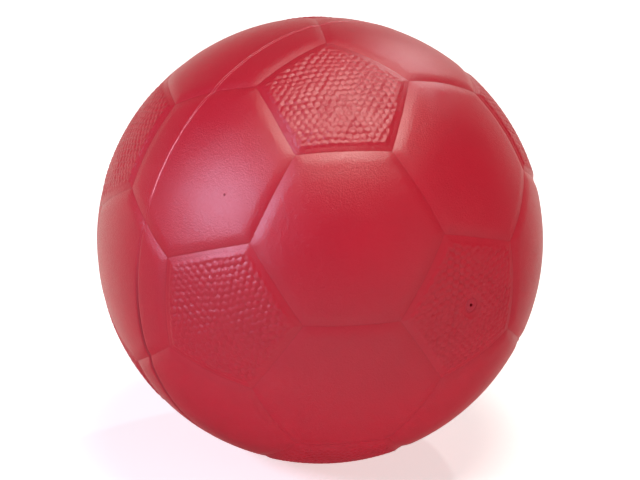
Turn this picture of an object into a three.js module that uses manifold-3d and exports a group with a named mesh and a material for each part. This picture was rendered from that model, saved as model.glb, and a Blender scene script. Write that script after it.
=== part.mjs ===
// A moulded rubber playground ball, as the pieces it is built from: two half covers and the
// bead that joins them, the thread winding, the bladder, and the inflation valve with its
// patch, its housing and the core that pulls out of it.
//
// Millimetres, +Z up. The origin is the centre of the ball. The valve faces -Y, so the joint
// between the two half covers lies in the XZ plane.
import * as THREE from "three";
import { mergeVertices } from "three/addons/utils/BufferGeometryUtils.js";
import Module from "manifold-3d";

const wasm = await Module();
wasm.setup();

// ---------------------------------------------------------------- driving dimensions

// Cover: 20 raised hexagons and 12 recessed pentagons with grooves between them.
const BALL_DIAMETER = 216;
const COVER_WALL = 2.2; // at the crown of a hexagon
const GROOVE_DEPTH = 1.3; // from the crown of a hexagon to the bottom of a groove
const HEXAGON_SHOULDER = 6.5; // how far a hexagon's rounded side reaches in from the groove
const PENTAGON_MARGIN = 5.5; // the same for a pentagon's sloping border
const PENTAGON_RECESS = 0.5; // how far a pentagon's field lies below the hexagons' crowns
const BEAD_WIDTH = 0.8; // along the valve's axis

// Carcass under the cover.
const WINDING_WALL = 0.5;
const BLADDER_WALL = 0.5;

// Inflation valve.
const CORE_HEAD_OVERHANG = 1; // of the head beyond the stem, all round
const CORE_HEAD_THICKNESS = 2;
const CORE_HEAD_SINK = 0.3; // below the pentagon's field
const CORE_STEM_DIAMETER = 5;
const CORE_RIB_HEIGHT = 0.3;
const CORE_RIB_PITCH = 4;
const CORE_RIBS = 3;
const CORE_LENGTH = 21;
const CORE_TIP_DIAMETER = 3;
const CORE_TIP_LENGTH = 2.5;
const NEEDLE_CHANNEL_DIAMETER = 1.4;
const NEEDLE_CHANNEL_DEPTH = 16;
const NEEDLE_FUNNEL_DIAMETER = 2.2;
const NEEDLE_FUNNEL_DEPTH = 0.6;
const HOUSING_WALL = 2.6;
const HOUSING_LENGTH = 19;
const FLANGE_DIAMETER = 26;
const FLANGE_THICKNESS = 1.2;
const PATCH_DIAMETER = 42;
const PATCH_THICKNESS = 0.8;

// Clearance between neighbouring pieces.
const FIT_GAP = 0.3;

// Tessellation.
const PANEL_EDGE_STEPS = 5;
const CARCASS_EDGE_STEPS = 3;
const ROUND_STEPS = 24;

// ---------------------------------------------------------------- derived dimensions

const crownRadius = BALL_DIAMETER / 2;
const fieldRadius = crownRadius - PENTAGON_RECESS;
const grooveRadius = crownRadius - GROOVE_DEPTH;
const coverInnerRadius = crownRadius - COVER_WALL;
const windingOuterRadius = coverInnerRadius - FIT_GAP;
const windingInnerRadius = windingOuterRadius - WINDING_WALL;
const bladderOuterRadius = windingInnerRadius - FIT_GAP;
const bladderInnerRadius = bladderOuterRadius - BLADDER_WALL;
const patchOuterRadius = bladderInnerRadius - FIT_GAP;
const patchInnerRadius = patchOuterRadius - PATCH_THICKNESS;
const flangeOuterRadius = patchInnerRadius - FIT_GAP;
const flangeInnerRadius = flangeOuterRadius - FLANGE_THICKNESS;

// Places along the valve's axis are distances from the centre of the ball.
const coreHeadDiameter = CORE_STEM_DIAMETER + 2 * CORE_HEAD_OVERHANG;
const coreFace = fieldRadius - CORE_HEAD_SINK;
const coreHeadUnderside = coreFace - CORE_HEAD_THICKNESS;
const coreEnd = coreFace - CORE_LENGTH;
const housingTopRadius = coverInnerRadius - FIT_GAP;
const housingSeat = coreHeadUnderside - FIT_GAP;
const housingEnd = housingTopRadius - HOUSING_LENGTH;
const housingBoreDiameter = CORE_STEM_DIAMETER + 2 * (CORE_RIB_HEIGHT + FIT_GAP);
const housingDiameter = housingBoreDiameter + 2 * HOUSING_WALL;
const housingHoleDiameter = housingDiameter + 2 * FIT_GAP;
const coreHoleDiameter = coreHeadDiameter + 2 * FIT_GAP;

// ---------------------------------------------------------------- solids and meshes

// A closed geometry as a solid that can be joined and cut.
function solidFrom(geometry) {
  geometry.deleteAttribute("normal");
  geometry.deleteAttribute("uv");
  const merged = mergeVertices(geometry);
  return new wasm.Manifold(
    new wasm.Mesh({
      numProp: 3,
      vertProperties: merged.attributes.position.array,
      triVerts: new Uint32Array(merged.index.array),
    }),
  );
}

// A solid as a named mesh with flat facets.
function meshFrom(name, solid, material) {
  const { vertProperties, triVerts } = solid.getMesh();
  const shared = new THREE.BufferGeometry();
  shared.setAttribute("position", new THREE.BufferAttribute(vertProperties, 3));
  shared.setIndex(new THREE.BufferAttribute(triVerts, 1));
  const geometry = shared.toNonIndexed();
  geometry.computeVertexNormals();
  const mesh = new THREE.Mesh(geometry, material);
  mesh.name = name;
  return mesh;
}

// A cylinder around the valve's axis, between two distances from the centre of the ball.
function valveCylinder(diameter, from, to) {
  const radius = diameter / 2;
  const geometry = new THREE.CylinderGeometry(radius, radius, to - from, ROUND_STEPS);
  geometry.translate(0, -(from + to) / 2, 0);
  return solidFrom(geometry);
}

// A slab across the valve's axis, wider than the ball.
function slab(yLow, yHigh) {
  const side = BALL_DIAMETER * 1.1;
  const geometry = new THREE.BoxGeometry(side, yHigh - yLow, side);
  geometry.translate(0, (yLow + yHigh) / 2, 0);
  return solidFrom(geometry);
}

// ---------------------------------------------------------------- panel pattern

// The pattern is a truncated icosahedron. A pentagon lies at each corner of the icosahedron
// and a hexagon on each of its faces. This direction is given by its angle from the valve
// and by its twist around the valve's axis, from +Z towards +X.
function direction(fromValve, twist) {
  return new THREE.Vector3(
    Math.sin(fromValve) * Math.sin(twist),
    -Math.cos(fromValve),
    Math.sin(fromValve) * Math.cos(twist),
  );
}

function pentagonCentres() {
  const ringAngle = Math.atan(2);
  const firstTwist = THREE.MathUtils.degToRad(-90);
  const fifth = (2 * Math.PI) / 5;
  const centres = [direction(0, 0), direction(Math.PI, 0)];
  for (let i = 0; i < 5; i += 1) {
    centres.push(direction(ringAngle, firstTwist + i * fifth));
    centres.push(direction(Math.PI - ringAngle, firstTwist + (i + 0.5) * fifth));
  }
  return centres;
}

// Corners in order around the centre, seen from outside, moved out to its tangent plane.
function makePanel(sides, centre, corners) {
  const start = corners[0].clone().projectOnPlane(centre).normalize();
  const across = new THREE.Vector3().crossVectors(centre, start);
  const angle = (corner) => Math.atan2(corner.dot(across), corner.dot(start));
  const ordered = [...corners].sort((a, b) => angle(a) - angle(b));
  return { sides, centre, corners: ordered.map((c) => c.clone().divideScalar(c.dot(centre))) };
}

function makePanels() {
  const centres = pentagonCentres();
  const adjacent = (a, b) => a !== b && a.dot(b) > 0;
  const cornerBetween = (near, far) => near.clone().multiplyScalar(2).add(far).normalize();
  const panels = [];
  for (const a of centres) {
    const neighbours = centres.filter((b) => adjacent(a, b));
    panels.push(makePanel(5, a, neighbours.map((b) => cornerBetween(a, b))));
  }
  centres.forEach((a, i) => {
    centres.slice(i + 1).forEach((b, j) => {
      centres.slice(i + j + 2).forEach((c) => {
        if (!adjacent(a, b) || !adjacent(b, c) || !adjacent(a, c)) return;
        const pairs = [[a, b], [b, a], [b, c], [c, b], [c, a], [a, c]];
        const centre = a.clone().add(b).add(c).normalize();
        panels.push(makePanel(6, centre, pairs.map(([p, q]) => cornerBetween(p, q))));
      });
    });
  });
  return panels;
}

const panels = makePanels();

// The distance over the ball's surface from a panel's centre to the middle of its edge.
function reachOf(sides) {
  const panel = panels.find((p) => p.sides === sides);
  const middle = panel.corners[0].clone().add(panel.corners[1]);
  return middle.angleTo(panel.centre) * crownRadius;
}

// One row of points across a sector of a panel, parallel to the panel's edge.
function rowPoints(panel, side, row) {
  const start = panel.corners[side];
  const end = panel.corners[(side + 1) % panel.sides];
  const steps = Math.max(row.steps, 1);
  return Array.from({ length: row.steps + 1 }, (_, i) => {
    const onEdge = start.clone().lerp(end, i / steps);
    return panel.centre.clone().lerp(onEdge, row.reach).setLength(row.radius);
  });
}

// Triangles between an inner and an outer row, whose numbers of steps may differ.
function stitchRows(inner, outer, triangles) {
  const innerSteps = inner.length - 1;
  const outerSteps = outer.length - 1;
  let i = 0;
  let j = 0;
  while (i < innerSteps || j < outerSteps) {
    const outerIsNext = (j + 1) * innerSteps <= (i + 1) * outerSteps;
    if (j < outerSteps && (i === innerSteps || outerIsNext)) {
      triangles.push(inner[i], outer[j], outer[j + 1]);
      j += 1;
    } else {
      triangles.push(inner[i], outer[j], inner[i + 1]);
      i += 1;
    }
  }
}

// A closed ball whose panels follow rows of { reach, radius, steps }: reach runs from 0 at the
// panel's centre to 1 at its edge, and steps is the number of points' intervals on one side.
function panelledBall(rowsOfPentagon, rowsOfHexagon) {
  const triangles = [];
  for (const panel of panels) {
    const rows = panel.sides === 5 ? rowsOfPentagon : rowsOfHexagon;
    for (let side = 0; side < panel.sides; side += 1) {
      for (let k = 1; k < rows.length; k += 1) {
        const inner = rowPoints(panel, side, rows[k - 1]);
        const outer = rowPoints(panel, side, rows[k]);
        stitchRows(inner, outer, triangles);
      }
    }
  }
  return solidFrom(new THREE.BufferGeometry().setFromPoints(triangles));
}

// The cover's outside: a level field, then a slope down into the groove.
function coverOutside() {
  const rows = (fieldAt, slopeWidth, reach) => [
    { reach: 0, radius: fieldAt, steps: 0 },
    { reach: 0.5, radius: fieldAt, steps: PANEL_EDGE_STEPS - 2 },
    { reach: 1 - slopeWidth / reach, radius: fieldAt, steps: PANEL_EDGE_STEPS },
    { reach: 1, radius: grooveRadius, steps: PANEL_EDGE_STEPS },
  ];
  const pentagon = rows(fieldRadius, PENTAGON_MARGIN, reachOf(5));
  const hexagon = rows(crownRadius, HEXAGON_SHOULDER, reachOf(6));
  return panelledBall(pentagon, hexagon);
}

// A plain ball on the same pattern. Two of them at different radii never cross.
function carcassBall(radius) {
  const rows = [
    { reach: 0, radius, steps: 0 },
    { reach: 0.5, radius, steps: CARCASS_EDGE_STEPS - 1 },
    { reach: 1, radius, steps: CARCASS_EDGE_STEPS },
  ];
  return panelledBall(rows, rows);
}

function carcassShell(outerRadius, innerRadius) {
  return carcassBall(outerRadius).subtract(carcassBall(innerRadius));
}

// ---------------------------------------------------------------- materials

const red = 0xb92c3e;
const coverRubber = new THREE.MeshStandardMaterial({ color: red, roughness: 0.42 });
const beadRubber = new THREE.MeshStandardMaterial({ color: 0xc23a4c, roughness: 0.4 });
const nylonThread = new THREE.MeshStandardMaterial({ color: 0xe6e0d0, roughness: 0.8 });
const butyl = new THREE.MeshStandardMaterial({ color: 0x26262a, roughness: 0.55 });
const patchRubber = new THREE.MeshStandardMaterial({ color: 0x6e5a44, roughness: 0.7 });
const housingRubber = new THREE.MeshStandardMaterial({ color: 0x34343a, roughness: 0.6 });
const coreRubber = new THREE.MeshStandardMaterial({ color: 0x93303f, roughness: 0.55 });

// ---------------------------------------------------------------- pieces

// Half covers and bead are one moulded wall, parted at the joint.
function coverPieces() {
  const wall = coverOutside().subtract(carcassBall(coverInnerRadius));
  const halfEdge = BEAD_WIDTH / 2 + FIT_GAP;
  const coreHole = valveCylinder(coreHoleDiameter, coverInnerRadius / 2, BALL_DIAMETER);
  const valveHalf = wall.intersect(slab(-BALL_DIAMETER, -halfEdge)).subtract(coreHole);
  const plainHalf = wall.intersect(slab(halfEdge, BALL_DIAMETER));
  const bead = wall.intersect(slab(-BEAD_WIDTH / 2, BEAD_WIDTH / 2));
  return [
    meshFrom("cover_valve_half", valveHalf, coverRubber),
    meshFrom("cover_plain_half", plainHalf, coverRubber),
    meshFrom("joint_bead", bead, beadRubber),
  ];
}

// The hole that the valve's housing stands in, through everything inside the cover.
function housingHole() {
  return valveCylinder(housingHoleDiameter, flangeInnerRadius / 2, BALL_DIAMETER);
}

function threadWinding() {
  const shell = carcassShell(windingOuterRadius, windingInnerRadius);
  return meshFrom("thread_winding", shell.subtract(housingHole()), nylonThread);
}

function bladder() {
  const shell = carcassShell(bladderOuterRadius, bladderInnerRadius);
  return meshFrom("bladder", shell.subtract(housingHole()), butyl);
}

// A disc cut out of a shell, around the valve.
function valveDisc(diameter, outerRadius, innerRadius) {
  const shell = carcassShell(outerRadius, innerRadius);
  return shell.intersect(valveCylinder(diameter, innerRadius / 2, BALL_DIAMETER));
}

function valvePatch() {
  const disc = valveDisc(PATCH_DIAMETER, patchOuterRadius, patchInnerRadius);
  return meshFrom("valve_patch", disc.subtract(housingHole()), patchRubber);
}

function valveHousing() {
  const barrel = valveCylinder(housingDiameter, housingEnd, BALL_DIAMETER);
  const neck = barrel.intersect(carcassBall(housingTopRadius));
  const flange = valveDisc(FLANGE_DIAMETER, flangeOuterRadius, flangeInnerRadius);
  const bore = valveCylinder(housingBoreDiameter, housingEnd / 2, BALL_DIAMETER);
  const seat = valveCylinder(coreHoleDiameter, housingSeat, BALL_DIAMETER);
  const body = neck.add(flange).subtract(bore).subtract(seat);
  return meshFrom("valve_housing", body, housingRubber);
}

// The core is turned around its needle channel. The outline runs from the bottom of the
// channel, over the flat face and the head, and along the ribbed stem to the tip.
function valveCore() {
  const channel = NEEDLE_CHANNEL_DIAMETER / 2;
  const stem = CORE_STEM_DIAMETER / 2;
  const outline = [
    [0, coreFace - NEEDLE_CHANNEL_DEPTH],
    [channel, coreFace - NEEDLE_CHANNEL_DEPTH],
    [channel, coreFace - NEEDLE_FUNNEL_DEPTH],
    [NEEDLE_FUNNEL_DIAMETER / 2, coreFace],
    [coreHeadDiameter / 2, coreFace],
    [coreHeadDiameter / 2, coreHeadUnderside],
    [stem, coreHeadUnderside],
  ];
  for (let i = 1; i <= CORE_RIBS; i += 1) {
    const crest = coreHeadUnderside - i * CORE_RIB_PITCH;
    outline.push([stem, crest + CORE_RIB_PITCH / 4]);
    outline.push([stem + CORE_RIB_HEIGHT, crest]);
    outline.push([stem, crest - CORE_RIB_HEIGHT]);
  }
  outline.push([stem, coreEnd + CORE_TIP_LENGTH]);
  outline.push([CORE_TIP_DIAMETER / 2, coreEnd]);
  outline.push([0, coreEnd]);
  const points = outline.map(([radius, distance]) => new THREE.Vector2(radius, -distance));
  const solid = solidFrom(new THREE.LatheGeometry(points, ROUND_STEPS));
  return meshFrom("valve_core", solid, coreRubber);
}

const ball = new THREE.Group();
ball.name = "playground_rubber_ball";
ball.add(...coverPieces());
ball.add(threadWinding(), bladder(), valvePatch(), valveHousing(), valveCore());

export default ball;
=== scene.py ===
"""The finished look of a moulded rubber playground ball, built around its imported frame.

The ball is a thick rubber cover cured in a two-part mould, over a thread winding, a bladder and
an inflation valve whose plug pulls out. Metres, +Z up, the origin is the centre of the ball and
the valve faces -Y, so the mould's joint lies in the XZ plane.

The file is laid out as an add-on: property groups hold the sizes and the finishes, each operator
makes one piece or one group of like pieces, and a panel lists them. Run as a script, it makes
the whole ball and its stage.
"""

import math
from functools import lru_cache
from typing import NamedTuple

import bmesh
import bpy
import numpy as np
from mathutils import Matrix, Vector


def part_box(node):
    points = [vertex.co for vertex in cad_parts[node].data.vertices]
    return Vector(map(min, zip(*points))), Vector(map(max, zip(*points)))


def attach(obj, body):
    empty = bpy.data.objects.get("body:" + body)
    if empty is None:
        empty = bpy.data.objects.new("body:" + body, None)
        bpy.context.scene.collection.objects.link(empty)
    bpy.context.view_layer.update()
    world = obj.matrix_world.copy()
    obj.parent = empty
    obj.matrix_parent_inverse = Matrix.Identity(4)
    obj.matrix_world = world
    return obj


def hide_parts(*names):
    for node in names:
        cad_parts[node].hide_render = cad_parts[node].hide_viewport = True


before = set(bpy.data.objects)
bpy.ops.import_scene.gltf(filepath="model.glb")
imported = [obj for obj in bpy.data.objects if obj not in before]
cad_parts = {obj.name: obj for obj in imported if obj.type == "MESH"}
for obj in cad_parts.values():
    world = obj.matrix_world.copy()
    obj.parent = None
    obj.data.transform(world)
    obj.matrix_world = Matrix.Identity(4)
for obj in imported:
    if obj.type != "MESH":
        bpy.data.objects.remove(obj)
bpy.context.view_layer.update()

bl_info = {
    "name": "Playground Rubber Ball",
    "version": (1, 0, 0),
    "blender": (4, 5, 0),
    "location": "View3D > Sidebar > Rubber Ball",
    "description": "Makes a moulded rubber playground ball with its carcass and inflation valve",
    "category": "Add Mesh",
}

MM = 0.001


# ---------------------------------------------------------------- what the frame gives


def wall_radii(node):
    """The radii of a CAD node's wall, inside and outside, from the ball's centre.

    The inside is measured on the faces that look at the centre, because the corners of a cut
    can lie deeper than the wall, in the middle of a flat facet.
    """
    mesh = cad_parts[node].data
    inside = [f for f in mesh.polygons if f.normal.dot(f.center) < -0.9 * f.center.length]
    inner = max(mesh.vertices[n].co.length for f in inside for n in f.vertices)
    return inner, max(v.co.length for v in mesh.vertices)


def along_valve(node):
    """How far a CAD node starts and ends from the ball's centre, along the valve's axis."""
    low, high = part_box(node)
    return -high.y, -low.y


def node_radius(node):
    """The radius of a CAD node that stands around the valve's axis."""
    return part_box(node)[1].z


COVER_INNER, COVER_CROWN = wall_radii("cover_valve_half")
WINDING_INNER, WINDING_OUTER = wall_radii("thread_winding")
BLADDER_INNER, BLADDER_OUTER = wall_radii("bladder")
PATCH_INNER, PATCH_OUTER = wall_radii("valve_patch")
HOUSING_END, HOUSING_TOP = along_valve("valve_housing")
PLUG_END, PLUG_FACE = along_valve("valve_core")


# ---------------------------------------------------------------- properties


def length(name, description, millimetres, **limits):
    """A length that is stated in millimetres and kept in metres."""
    return bpy.props.FloatProperty(
        name=name,
        description=description,
        default=millimetres * MM,
        unit="LENGTH",
        precision=5,
        **limits,
    )


def colour(name, description, code):
    """A colour that is stated as an sRGB hex code."""
    return bpy.props.FloatVectorProperty(
        name=name,
        description=description,
        default=linear(code),
        subtype="COLOR",
        size=3,
        min=0.0,
        max=1.0,
    )


def linear(code):
    """An sRGB hex code as linear red, green and blue."""
    parts = [int(code[i : i + 2], 16) / 255 for i in (0, 2, 4)]
    return tuple(p / 12.92 if p <= 0.04045 else ((p + 0.055) / 1.055) ** 2.4 for p in parts)


class CoverSizes(bpy.types.PropertyGroup):
    """The moulded cover: smooth raised hexagons, recessed pebbled pentagons and their grooves."""

    crown_radius: length(
        "Crown radius", "From the centre of the ball to a hexagon's crown", COVER_CROWN / MM
    )
    inner_radius: length("Inner radius", "Inside of the cover", COVER_INNER / MM)
    groove_depth: length("Groove depth", "From a hexagon's crown to a groove's bottom", 0.8)
    shoulder_width: length("Hexagon shoulder", "Width of a hexagon's rounded border", 5.7)
    shoulder_power: bpy.props.FloatProperty(
        name="Shoulder roundness",
        description="1 makes the border straight, and 2 or more makes it round",
        default=1.7,
        min=1.0,
        max=4.0,
    )
    margin_width: length("Pentagon margin", "Width of a pentagon's sloping border", 4.8)
    field_recess: length("Pentagon recess", "How far the pebbled field lies below the crowns", 0.25)
    pebble_row: length("Pebble rows", "Distance between two rows of pebbles", 3.1)
    pebble_step: length("Pebble spacing", "Distance between two pebbles in a row", 3.55)
    pebble_height: length("Pebble height", "Height of a pebble's dome", 0.55)
    pebble_reach: length("Pebble reach", "Radius at which a dome runs out", 1.85)
    pebble_stray: length("Pebble stray", "How far a pebble may stand from its place", 0.25)
    pebble_bend: length("Row bend", "How far the rows of pebbles bend", 3.5)
    pebble_seed: bpy.props.IntProperty(
        name="Pebble seed", description="Sets where the pebbles stray to", default=7, min=0
    )
    hole_gap: length("Plug gap", "Gap between the valve's plug and its hole", 0.06)
    collar_height: length("Collar height", "Height of the lip around the valve's hole", 0.1)
    collar_width: length("Collar width", "Width of the lip around the valve's hole", 1.3)
    crease_depth: length("Crease depth", "How deep the cover is drawn in along the joint", 0.8)
    crease_width: length("Crease width", "How far the crease reaches from the joint", 1.5)
    vent_diameter: length("Vent mark", "Diameter of the trimmed stub of the mould's vent", 0.9)
    vent_height: length("Vent stub", "Height of the trimmed stub", 0.16)
    lip_height: length("Joint lip", "Height of the lips that the mould's edges leave", 0.09)


class SeamSizes(bpy.types.PropertyGroup):
    """The rubber that was squeezed out between the two parts of the mould."""

    gap: length("Parting gap", "Half of the gap between the two half covers", 0.2)
    width: length("Flash width", "Thickness of the squeezed-out web", 0.39)
    fin_height: length("Fin height", "Height of the torn fin above the cover", 0.16)
    fin_patch: length("Fin patches", "Length over which the fin comes and goes", 26.0)
    seed: bpy.props.FloatProperty(
        name="Fin seed", description="Sets where the fin comes and goes", default=3.0
    )


class CarcassSizes(bpy.types.PropertyGroup):
    """The winding and the bladder under the cover."""

    thread_thickness: length("Thread", "Thickness of the wound nylon thread", 0.3)
    thread_count: bpy.props.IntProperty(
        name="Thread turns", description="Great circles of thread", default=110, min=3
    )
    thread_tilt: bpy.props.FloatProperty(
        name="Steepest turn",
        description="Largest angle between a turn's axis and the valve's axis",
        default=math.radians(85.5),
        subtype="ANGLE",
    )
    thread_seed: bpy.props.IntProperty(
        name="Winding seed", description="Sets how the turns lie", default=11, min=0
    )
    rib_height: length("Mould line", "Height of the bladder's mould line", 0.08)


class ValveSizes(bpy.types.PropertyGroup):
    """The inflation valve: its plug, its housing and the patch round it."""

    edge_rounding: length("Edge rounding", "Radius on the plug's and the housing's edges", 0.25)
    needle_hole: length("Needle hole", "Diameter of the hole for the inflation needle", 1.4)
    funnel_diameter: length("Funnel", "Diameter of the needle hole's mouth", 1.9)
    funnel_depth: length("Funnel depth", "Depth of the needle hole's mouth", 0.6)
    channel_depth: length("Channel depth", "Depth of the needle hole", 16.0)
    stem_diameter: length("Stem", "Diameter of the plug's stem", 5.0)
    head_thickness: length("Head", "Thickness of the plug's head", 2.0)
    rib_height: length("Rib height", "Height of the stem's ribs", 0.3)
    rib_pitch: length("Rib pitch", "Distance between the stem's ribs", 4.0)
    rib_count: bpy.props.IntProperty(
        name="Ribs", description="Number of ribs on the stem", default=3, min=0
    )


class RubberFinishes(bpy.types.PropertyGroup):
    """Colours of the rubbers and the thread."""

    cover_red: colour("Cover red", "Pigment of the cover", "BA0D29")
    cover_shade: colour("Cover shade", "The cover's darker clouding", "B00B27")
    # Painted shade: the cover's material mixes this darker red into the bottom of the grooves and
    # along the crease. It is also the trimmed vent stub's base colour.
    fold_shade_and_stub_red: colour("Fold shade and stub red", "The cover in the bottom of the folds", "7C0A1E")
    # Pale pink, painted on the joint's lips and fin: partly the worn and torn rubber's own paler
    # colour, partly a painted highlight along their crests.
    torn_and_highlight_pink: colour("Torn and highlight pink", "The flash where it was torn off", "F4A0AC")
    plug_red: colour("Plug red", "Pigment of the valve's plug", "A81A30")
    butyl_black: colour("Butyl black", "Bladder rubber", "202024")
    talc: colour("Talc", "Powder left on the bladder", "6A6A6C")
    gum_brown: colour("Gum brown", "Patch rubber", "7A5F43")
    housing_black: colour("Housing black", "Rubber of the valve's housing", "2A2A2E")
    thread_white: colour("Thread white", "Nylon thread", "E8E2D2")
    latex_amber: colour("Latex", "Dried latex between the threads", "C9AE7E")


class StageSettings(bpy.types.PropertyGroup):
    """Camera, lights and floor."""

    camera_azimuth: bpy.props.FloatProperty(
        name="Camera azimuth",
        description="Turn of the camera around the ball",
        default=math.radians(-39.4),
        subtype="ANGLE",
    )
    camera_elevation: bpy.props.FloatProperty(
        name="Camera elevation",
        description="Height of the camera above the ball's middle",
        default=math.radians(20.7),
        subtype="ANGLE",
    )
    camera_distance: length("Camera distance", "From the centre of the ball", 1029.0)
    lens: bpy.props.FloatProperty(
        name="Lens", description="Focal length in millimetres", default=118.96, min=10
    )
    floor_size: length("Floor size", "Side of the pale floor", 6000.0)
    floor_colour: colour("Floor", "Pale matt floor", "F8F8F7")
    floor_glow: bpy.props.FloatProperty(
        name="Floor glow",
        description="Light that shines through the floor from below",
        default=0.6,
        min=0.0,
    )
    room_strength: bpy.props.FloatProperty(
        name="Room light", description="Strength of the dim room", default=0.06, min=0.0
    )
    sweep_strength: bpy.props.FloatProperty(
        name="Sweep light", description="Strength of the white sweep", default=1.1, min=0.0
    )
    sweep_colour: colour("Sweep", "Warm white sweep", "FFF2E6")


# ---------------------------------------------------------------- panel pattern

# The pattern is a truncated icosahedron. A pentagon lies at each corner of the icosahedron and
# a hexagon on each of its faces.


class Panel(NamedTuple):
    """A panel's number of sides, its centre's direction and its corners on the tangent plane."""

    sides: int
    centre: np.ndarray
    corners: np.ndarray


def direction(from_valve, twist):
    """A direction by its angle from the valve and its twist from +Z towards +X."""
    ring = math.sin(from_valve)
    return np.array([ring * math.sin(twist), -math.cos(from_valve), ring * math.cos(twist)])


def pentagon_centres():
    """Directions of the twelve pentagons, the first at the valve and the second opposite."""
    ring_angle = math.atan(2)
    first_twist = math.radians(-90)
    fifth = 2 * math.pi / 5
    centres = [direction(0, 0), direction(math.pi, 0)]
    for i in range(5):
        centres.append(direction(ring_angle, first_twist + i * fifth))
        centres.append(direction(math.pi - ring_angle, first_twist + (i + 0.5) * fifth))
    return centres


def unit(v):
    """Vectors of length 1 along the given ones."""
    return v / np.linalg.norm(v, axis=-1, keepdims=True)


def make_panel(sides, centre, corners):
    """Puts a panel's corners in order around its centre and moves them to its tangent plane."""
    start = unit(corners[0] - centre * (corners[0] @ centre))
    across = np.cross(centre, start)
    corners = sorted(corners, key=lambda c: math.atan2(c @ across, c @ start))
    return Panel(sides, centre, np.array([c / (c @ centre) for c in corners]))


def corner_between(near, far):
    """The pattern's corner on the way from one pentagon's centre to the next."""
    return unit(2 * near + far)


def make_panels():
    """All twelve pentagons and twenty hexagons."""
    centres = pentagon_centres()
    panels = []
    for a in centres:
        near = [b for b in centres if b is not a and a @ b > 0]
        panels.append(make_panel(5, a, [corner_between(a, b) for b in near]))
    for i, a in enumerate(centres):
        for j in range(i + 1, len(centres)):
            for k in range(j + 1, len(centres)):
                b, c = centres[j], centres[k]
                if a @ b > 0 and b @ c > 0 and a @ c > 0:
                    pairs = [(a, b), (b, a), (b, c), (c, b), (c, a), (a, c)]
                    corners = [corner_between(p, q) for p, q in pairs]
                    panels.append(make_panel(6, unit(a + b + c), corners))
    return panels


PANELS = make_panels()


def groove_gaps(directions, radius):
    """For each direction its distance to the nearest groove, and whether it is in a pentagon."""
    gap = np.full(len(directions), -1.0)
    pentagon = np.zeros(len(directions))
    for panel in PANELS:
        inward = unit(np.cross(panel.corners, np.roll(panel.corners, -1, axis=0)))
        to_side = np.arcsin(np.clip(directions @ inward.T, -1, 1)).min(axis=1)
        mine = to_side > gap
        gap[mine] = to_side[mine]
        pentagon[mine] = 1.0 if panel.sides == 5 else 0.0
    return np.maximum(gap, 0) * radius, pentagon


def across_pattern(sides):
    """From a panel's centre to the middle of its side, on the unit ball's tangent plane."""
    panel = next(p for p in PANELS if p.sides == sides)
    middle = (panel.corners[0] + panel.corners[1]) / 2
    return float(np.linalg.norm(middle - panel.centre))


# ---------------------------------------------------------------- mesh building


@lru_cache(maxsize=None)
def stitched(inner_steps, outer_steps):
    """Triangles between two rows of points whose numbers of steps may differ."""
    first_outer = inner_steps + 1
    faces = []
    i = j = 0
    while i < inner_steps or j < outer_steps:
        outer_is_next = (j + 1) * inner_steps <= (i + 1) * outer_steps
        if j < outer_steps and (i == inner_steps or outer_is_next):
            faces.append((i, first_outer + j, first_outer + j + 1))
            j += 1
        else:
            faces.append((i, first_outer + j, i + 1))
            i += 1
    return np.array(faces)


def turn_of(point):
    """A point's angle around the valve's axis."""
    return math.atan2(point[2], point[0])


def zip_rings(first, second, points):
    """Triangles between two closed rings of point numbers, each in order of its turn."""
    past_last = [math.pi + 1, math.pi + 1]
    turns_a = [turn_of(points[n]) for n in first] + past_last
    turns_b = [turn_of(points[n]) for n in second] + past_last
    faces = []
    i = j = 0
    while i < len(first) or j < len(second):
        a, b = first[i % len(first)], second[j % len(second)]
        a_is_next = i < len(first) and turns_a[i + 1] <= turns_b[j + 1]
        if j == len(second) or a_is_next:
            faces.append((a, first[(i + 1) % len(first)], b))
            i += 1
        else:
            faces.append((a, second[(j + 1) % len(second)], b))
            j += 1
    return faces


def new_object(name, mesh):
    """A new object in the scene that holds the mesh."""
    made = bpy.data.objects.new(name, mesh)
    bpy.context.scene.collection.objects.link(made)
    return made


def mesh_from(name, points, faces):
    """A mesh from points in metres and faces."""
    mesh = bpy.data.meshes.new(name)
    mesh.from_pydata([tuple(p) for p in points], [], [tuple(int(n) for n in f) for f in faces])
    mesh.validate()
    return mesh


def set_attribute(mesh, name, values):
    """Writes one number for each point of the mesh."""
    attribute = mesh.attributes.new(name, "FLOAT", "POINT")
    attribute.data.foreach_set("value", np.asarray(values, np.float32))


def outward(mesh):
    """Turns the faces of a closed mesh outwards."""
    shape = bmesh.new()
    shape.from_mesh(mesh)
    bmesh.ops.recalc_face_normals(shape, faces=shape.faces)
    shape.to_mesh(mesh)
    shape.free()


def shade(mesh, sharp_degrees):
    """Shades a mesh smooth, apart from edges that turn by more than an angle."""
    mesh.shade_smooth()
    mesh.set_sharp_from_angle(angle=math.radians(sharp_degrees))


def faces_between(ring, following):
    """Faces between two rings of point numbers. Either may be a single point on the axis."""
    faces = []
    steps = max(len(ring), len(following))
    for k in range(steps if steps > 1 else 0):
        corners = [ring[k % len(ring)], ring[(k + 1) % len(ring)]]
        corners += [following[(k + 1) % len(following)], following[k % len(following)]]
        faces.append([n for i, n in enumerate(corners) if n not in corners[:i]])
    return faces


def lathe(name, outline, steps):
    """A closed mesh turned around the valve's axis.

    The outline is a list of (radius, distance from the ball's centre). It starts and ends on
    the axis, or closes on itself.
    """
    turns = np.arange(steps) * 2 * math.pi / steps
    points, rings = [], []
    for radius, distance in outline:
        around = turns if radius else turns[:1]
        rings.append(list(range(len(points), len(points) + len(around))))
        points += [(radius * math.cos(t), -distance, radius * math.sin(t)) for t in around]
    closing = [] if outline[0][0] == 0 else rings[:1]
    faces = []
    for ring, following in zip(rings, rings[1:] + closing):
        faces += faces_between(ring, following)
    mesh = mesh_from(name, points, faces)
    outward(mesh)
    return mesh


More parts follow.
